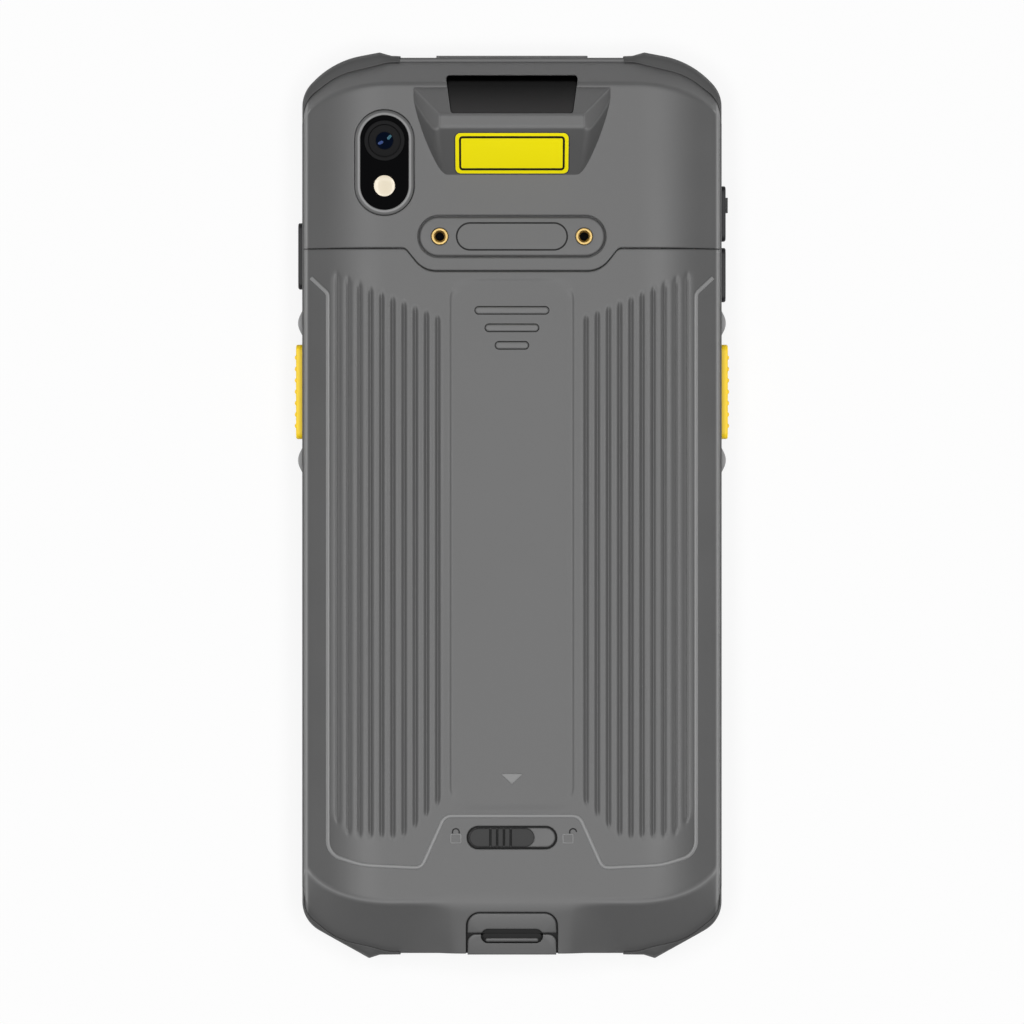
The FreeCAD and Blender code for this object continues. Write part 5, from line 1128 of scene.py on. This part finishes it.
well_profile = [(radius, LENS_TOP + up) for radius, up in well_section]
lens_well = lathe("lens_well", (CAMERA_X, LENS_Y), well_profile, 96)
piece(lens_well, lens_barrel, "frame", "module_plastic", "camera_lens_glass")


# %% Front element, its reflections and the flash
def domed(radius, top, drop, power, low):
    """Profile of a lens, from its flat underside up and over a top that falls as radius^power."""
    share = np.linspace(0, 1, 10)
    dome = np.stack([radius * share, top - drop * share ** power], 1)
    return np.vstack([dome, [[radius, low], [0.0, low]]])[::-1]


front_profile = domed(1.55, LENS_TOP - 0.35, 0.02, 2, LENS_TOP - 0.9)
flash_profile = domed(1.9, LENS_TOP + 0.06, 0.14, 3, LENS_TOP - 1.2)
front_element = lathe("lens_front_element", (CAMERA_X, LENS_Y), front_profile)
piece(front_element, lens_coating, "frame", "clear_lens")
REFLEX_HALF, REFLEX_LOW, REFLEX_HIGH = (0.5, 0.26), LENS_TOP - 0.5, LENS_TOP - 0.33
REFLEXES = {"blue": (-0.7, -0.38, 0.5, blue_glint), "teal": (0.87, 0.61, 0.9, teal_glint)}
for name, (dx, dy, tilt, finish) in REFLEXES.items():
    turning = np.array([[math.cos(tilt), math.sin(tilt)], [-math.sin(tilt), math.cos(tilt)]])
    line = stadium(0, 0, *REFLEX_HALF) @ turning + np.array([CAMERA_X + dx, LENS_Y + dy])
    piece(pad(f"lens_reflex_{name}", line, REFLEX_LOW, REFLEX_HIGH, 0.02), finish, "frame", "clear_lens")
flash = lathe("flash_lens_skin", (CAMERA_X, FLASH_Y), flash_profile)
piece(flash, flash_diffuser, "frame", "flash_diffuser", "flash_lens")

# %% [markdown]
# ## Port cover
# A soft flap that closes the charging socket. Its lid lies in the recess a tenth of a millimetre
# under the chin, and a nail pocket across the edge between flap and cover opens it. The pocket's
# bottom, painted near black as its shade, is split along that edge, so that each half moves with
# its own side. A near-black pad under the recess paints the shade in the gap along its wall.

# %% Gap, recess floor and lid
LID_ROUND, LID_END, LID_LOW, LID_EDGE = 1.5, -FRAME_END + 0.04, -3.4, 0.25
FLOOR_DROP, LID_DROP, HALF_GAP, GAP_SIDE = 0.5, 0.12, 0.12, 0.02
inner_half, inner_top, inner_round = PORT_HALF - PORT_GAP, PORT_TOP - PORT_GAP, PORT_ROUND - PORT_GAP
port_line = port_outline(PORT_HALF - GAP_SIDE, PORT_TOP - GAP_SIDE, PORT_ROUND, -BOTTOM_END + 0.1)
recess_line = port_outline(inner_half, inner_top, inner_round, LID_TOP + HALF_GAP)
lid_line = port_outline(inner_half, LID_TOP - HALF_GAP, LID_ROUND, LID_END)
port_gap = pad("port_gap", port_line, -PORT_DEPTH - 0.1, -PORT_DEPTH + 0.04, 0.01, chin_plane)
recess_floor = pad("port_recess_floor", recess_line, -PORT_DEPTH - 0.05, -FLOOR_DROP, 0.2, chin_plane)
lid = pad("port_cover_lid", lid_line, LID_LOW, -LID_DROP, LID_EDGE, chin_plane)
piece(carve(port_gap, [nail_cut(-9.0, 9.0)]), painted_shade_abs, "cover", "housing_plastic")
piece(carve(recess_floor, [nail_cut(-9.0, 9.0)]), shell_plastic, "cover", "housing_plastic")
piece(carve(lid, [nail_cut(-3.0, CLEAR)]), port_rubber, "port_flap", "port_rubber")


# %% Nail pocket
def port_piece(name, outline, heights, edge, finish, body):
    """A pad over the chin, between two heights."""
    return piece(pad(name, outline, *heights, edge, chin_plane), finish, body, "port_rubber")


POCKET_PLAY = 0.03
LIP_HALF, SPLIT = NAIL_HALF[0] - POCKET_PLAY, LID_TOP - 0.06
above = NAIL_Y + NAIL_HALF[1] - SPLIT - POCKET_PLAY
below = SPLIT - NAIL_Y + NAIL_HALF[1] - POCKET_PLAY
cover_half = rectangle(0, SPLIT + above / 2, LIP_HALF, above / 2, 0.4)
lid_half = rectangle(0, SPLIT - below / 2, LIP_HALF, below / 2, 0.85)
ledge = rectangle(0, NAIL_Y - 0.78, LIP_HALF - 0.8, 0.34, 0.32)
port_piece("nail_pocket_cover", cover_half, (-1.35, -1.25), 0.02, painted_shade_abs, "cover")
port_piece("nail_pocket_lid", lid_half, (-1.6, -1.3), 0.02, painted_shade_abs, "port_flap")
port_piece("nail_ledge", ledge, (-1.35, -1.0), 0.2, port_rubber, "port_flap")

# %% [markdown]
# ## Corner bumpers
# Each corner has a moulded cap from the frame's edge up to the shell. Its top leans in from the
# outer rim to the foot of the shell, so it is a surface ruled between two outlines: a section of
# share and height is carried from the rim's line, at share 0, towards the shell's line, at 1.
# One set of corners serves both ears of an end, mirrored.

# %% Bumper skins
FRAME_HALF, BUMPER_START, EAR_POINTS = 38.0, 69.15, 120
EARS = {
    "top": [
        (FRAME_HALF, BUMPER_START, 0), (FRAME_HALF, 74.7, 6.0), (32.5, 80.5, 16.0), (24.0, 82.12, 0.3),
        (21.8, 81.5, 0.5), (20.2, 81.45, 0),
    ],
    "bottom": [
        (FRAME_HALF, BUMPER_START, 0), (FRAME_HALF, 75.3, 6.0), (25.9, 82.08, 0.3), (23.9, 81.45, 0.5),
        (20.2, 81.4, 0),
    ],
}
EAR_SHARE = np.array([1.15, 0.0, 0.0, 0.04, 0.16, 0.34, 0.7, 1.1, 1.15])
EAR_HEIGHT = np.array([3.1, 3.1, 8.4, 8.9, 9.35, 9.62, 9.85, 10.1, 9.3])
# A painted highlight along the rounded top of the rim.
EAR_HIGHLIGHT = np.array([0.0, 0.0, 0.0, 0.0, 0.25, 0.0, 0.0, 0.0, 0.0])


def bumper(name, corners, shell_line, side, end):
    """Ruled from the rim's outline, up its wall and round, then leaning in to the shell's outline."""
    outer = evenly(rounded_line(corners, 14), EAR_POINTS)
    foot = shell_line[shell_line[:, 0] >= corners[-1][0] + 0.4][::-1]
    inner = evenly(np.vstack([[HALF, BUMPER_START], foot, [corners[-1][0] + 0.2, foot[-1, 1]]]), EAR_POINTS)
    plan = outer[:, None] + (inner - outer)[:, None] * EAR_SHARE[None, :, None]
    heights = np.broadcast_to(EAR_HEIGHT, plan.shape[:2])
    points = np.dstack([plan[..., 0] * side, plan[..., 1] * end, heights])
    mirrored = side * end < 0
    count, total = len(EAR_HEIGHT), EAR_POINTS * len(EAR_HEIGHT)
    caps = [list(range(count)), list(range(total - count, total))[::-1]]
    caps = [cap[::-1] for cap in caps] if mirrored else caps
    faces = quads(EAR_POINTS, count, wrap_columns=True, flip=mirrored)
    mesh = make_mesh(name, points, faces, np.broadcast_to(EAR_HIGHLIGHT, plan.shape[:2]), caps)
    return piece(mesh, bumper_rubber, "frame", "bumper_rubber", name.replace("_skin", ""))


for end_name, end, line in (("top", 1, TOP_OUTLINE), ("bottom", -1, BOTTOM_OUTLINE)):
    for side_name, side in (("left", -1), ("right", 1)):
        bumper(f"bumper_{end_name}_{side_name}_skin", EARS[end_name], line, side, end)

# %% [markdown]
# ## Camera
# The picture is taken straight down on the back with a long lens, so that the sides hardly show.
# A lens without perspective would hide them altogether, and a shorter one would show too much.

# %% Camera
VIEW_WIDTH = 185.0 * MM
VIEW_CENTRE = (0.01 * MM, -1.2 * MM)
FOCAL, SENSOR = 200.0, 36.0
MID_HEIGHT = 12.0 * MM
camera_data = bpy.data.cameras.new("camera")
camera_data.lens, camera_data.sensor_width = FOCAL, SENSOR
camera = bpy.data.objects.new("camera", camera_data)
camera.location = (*VIEW_CENTRE, MID_HEIGHT + VIEW_WIDTH * FOCAL / SENSOR)
camera_data.clip_start, camera_data.clip_end = 0.01, 20.0
bpy.context.collection.objects.link(camera)
bpy.context.scene.camera = camera
print("camera height in mm", round(camera.location.z / MM))

# %% [markdown]
# ## Floor
# The terminal lies on white paper. Lamps bright enough to make paper white would bleach the
# object, so the paper shines by itself, but only for rays from the camera or through clear parts.
# All other light meets plain white paper, which keeps the object's soft shadow.

# %% Floor
HALF_FLOOR, FLOOR_BELOW = 2.5, 0.02
floor_mesh = bpy.data.meshes.new("floor")
floor_mesh.from_pydata([(x, y, 0.0) for x, y in ((-1, -1), (1, -1), (1, 1), (-1, 1))], [], [(0, 1, 2, 3)])
floor_mesh.transform(Matrix.Translation((0, 0, -FLOOR_BELOW * MM)) @ Matrix.Scale(HALF_FLOOR, 4))
floor = bpy.data.objects.new("floor", floor_mesh)
bpy.context.collection.objects.link(floor)


GLOW_SHARE = 0.85


def paper_floor():
    """White paper: it takes the object's shadow, and where it is seen it is lifted to near white."""
    made, tree, output = new_material("white_paper")
    paper = add(tree, "ShaderNodeBsdfDiffuse", {"Color": linear("#f4f4f4")})
    glow = add(tree, "ShaderNodeEmission", {"Color": linear("#ffffff"), "Strength": 1.0})
    clear = add(tree, "ShaderNodeBsdfTransparent")
    path = add(tree, "ShaderNodeLightPath")
    seen = add(tree, "ShaderNodeMath", {
        0: path.outputs["Is Camera Ray"], 1: path.outputs["Is Transmission Ray"],
    }, operation="ADD")
    share = add(tree, "ShaderNodeMath", {0: seen.outputs[0], 1: GLOW_SHARE}, operation="MULTIPLY")
    lifted = add(tree, "ShaderNodeMixShader", {0: share.outputs[0], 1: paper.outputs[0], 2: glow.outputs[0]})
    below = add(tree, "ShaderNodeNewGeometry").outputs["Backfacing"]
    sided = add(tree, "ShaderNodeMixShader", {0: below, 1: lifted.outputs[0], 2: clear.outputs[0]})
    tree.links.new(sided.outputs[0], output.inputs["Surface"])
    return made


floor_mesh.materials.append(paper_floor())
print("floor in m", 2 * HALF_FLOOR)

# %% [markdown]
# ## Lamps and world
# Four soft lamps stand in a ring round the camera's axis, so faces that look up are brightest and
# flat black glass mirrors the dark hole between them. One lamp over the object would show as a
# white patch in that glass. Two long strips, low at the sides, light the rounded edges, and a
# painted highlight along the shell's long sides adds to their pale line. The world is almost
# dark to light, and white only to the camera.

# %% Lamps
def soft_lamp(name, place, target, size, watts):
    """A rectangular lamp at place, turned to face target; sizes in metres."""
    data = bpy.data.lights.new(name, "AREA")
    data.shape, data.size, data.size_y, data.energy = "RECTANGLE", size[0], size[1], watts
    lamp = bpy.data.objects.new(name, data)
    bpy.context.collection.objects.link(lamp)
    lamp.location = place
    away = Vector(target) - lamp.location
    lamp.rotation_euler = away.to_track_quat("-Z", "Y").to_euler()
    return lamp


RING_HEIGHT, RING_MIDDLE, RING_SIZE = 1.3, 0.42, (0.84, 0.3)
RING = {"east": (1, 0, 5.9), "west": (-1, 0, 5.9), "north": (0, 1, 2.8), "south": (0, -1, 3.9)}
STRIP_OUT, STRIP_HEIGHT, STRIP_SIZE, STRIP_WATTS = 0.7, 0.05, (0.8, 0.07), 1.0
for name, (x, y, watts) in RING.items():
    soft_lamp(f"ring_{name}", (x * RING_MIDDLE, y * RING_MIDDLE, RING_HEIGHT), (0, 0, 0), RING_SIZE, watts)
for name, side in (("left", -1), ("right", 1)):
    soft_lamp(f"strip_{name}", (side * STRIP_OUT, 0.0, STRIP_HEIGHT), (0, 0, 0.01), STRIP_SIZE, STRIP_WATTS)
print("lamps", len(bpy.data.lights))

# %% World
WORLD_LIGHT, WORLD_SEEN = 0.07, 1.0
world = bpy.data.worlds.new("studio")
bpy.context.scene.world = world
world.use_nodes = True
sky = world.node_tree.nodes["Background"]
sky.inputs["Color"].default_value = linear("#f2f4f7")
path = add(world.node_tree, "ShaderNodeLightPath")
strength = add(world.node_tree, "ShaderNodeMapRange", {
    "Value": path.outputs["Is Camera Ray"], "To Min": WORLD_LIGHT, "To Max": WORLD_SEEN,
})
world.node_tree.links.new(strength.outputs["Result"], sky.inputs["Strength"])
bpy.context.scene.view_settings.view_transform = "Standard"
print("world strength", WORLD_LIGHT, "seen as", WORLD_SEEN)
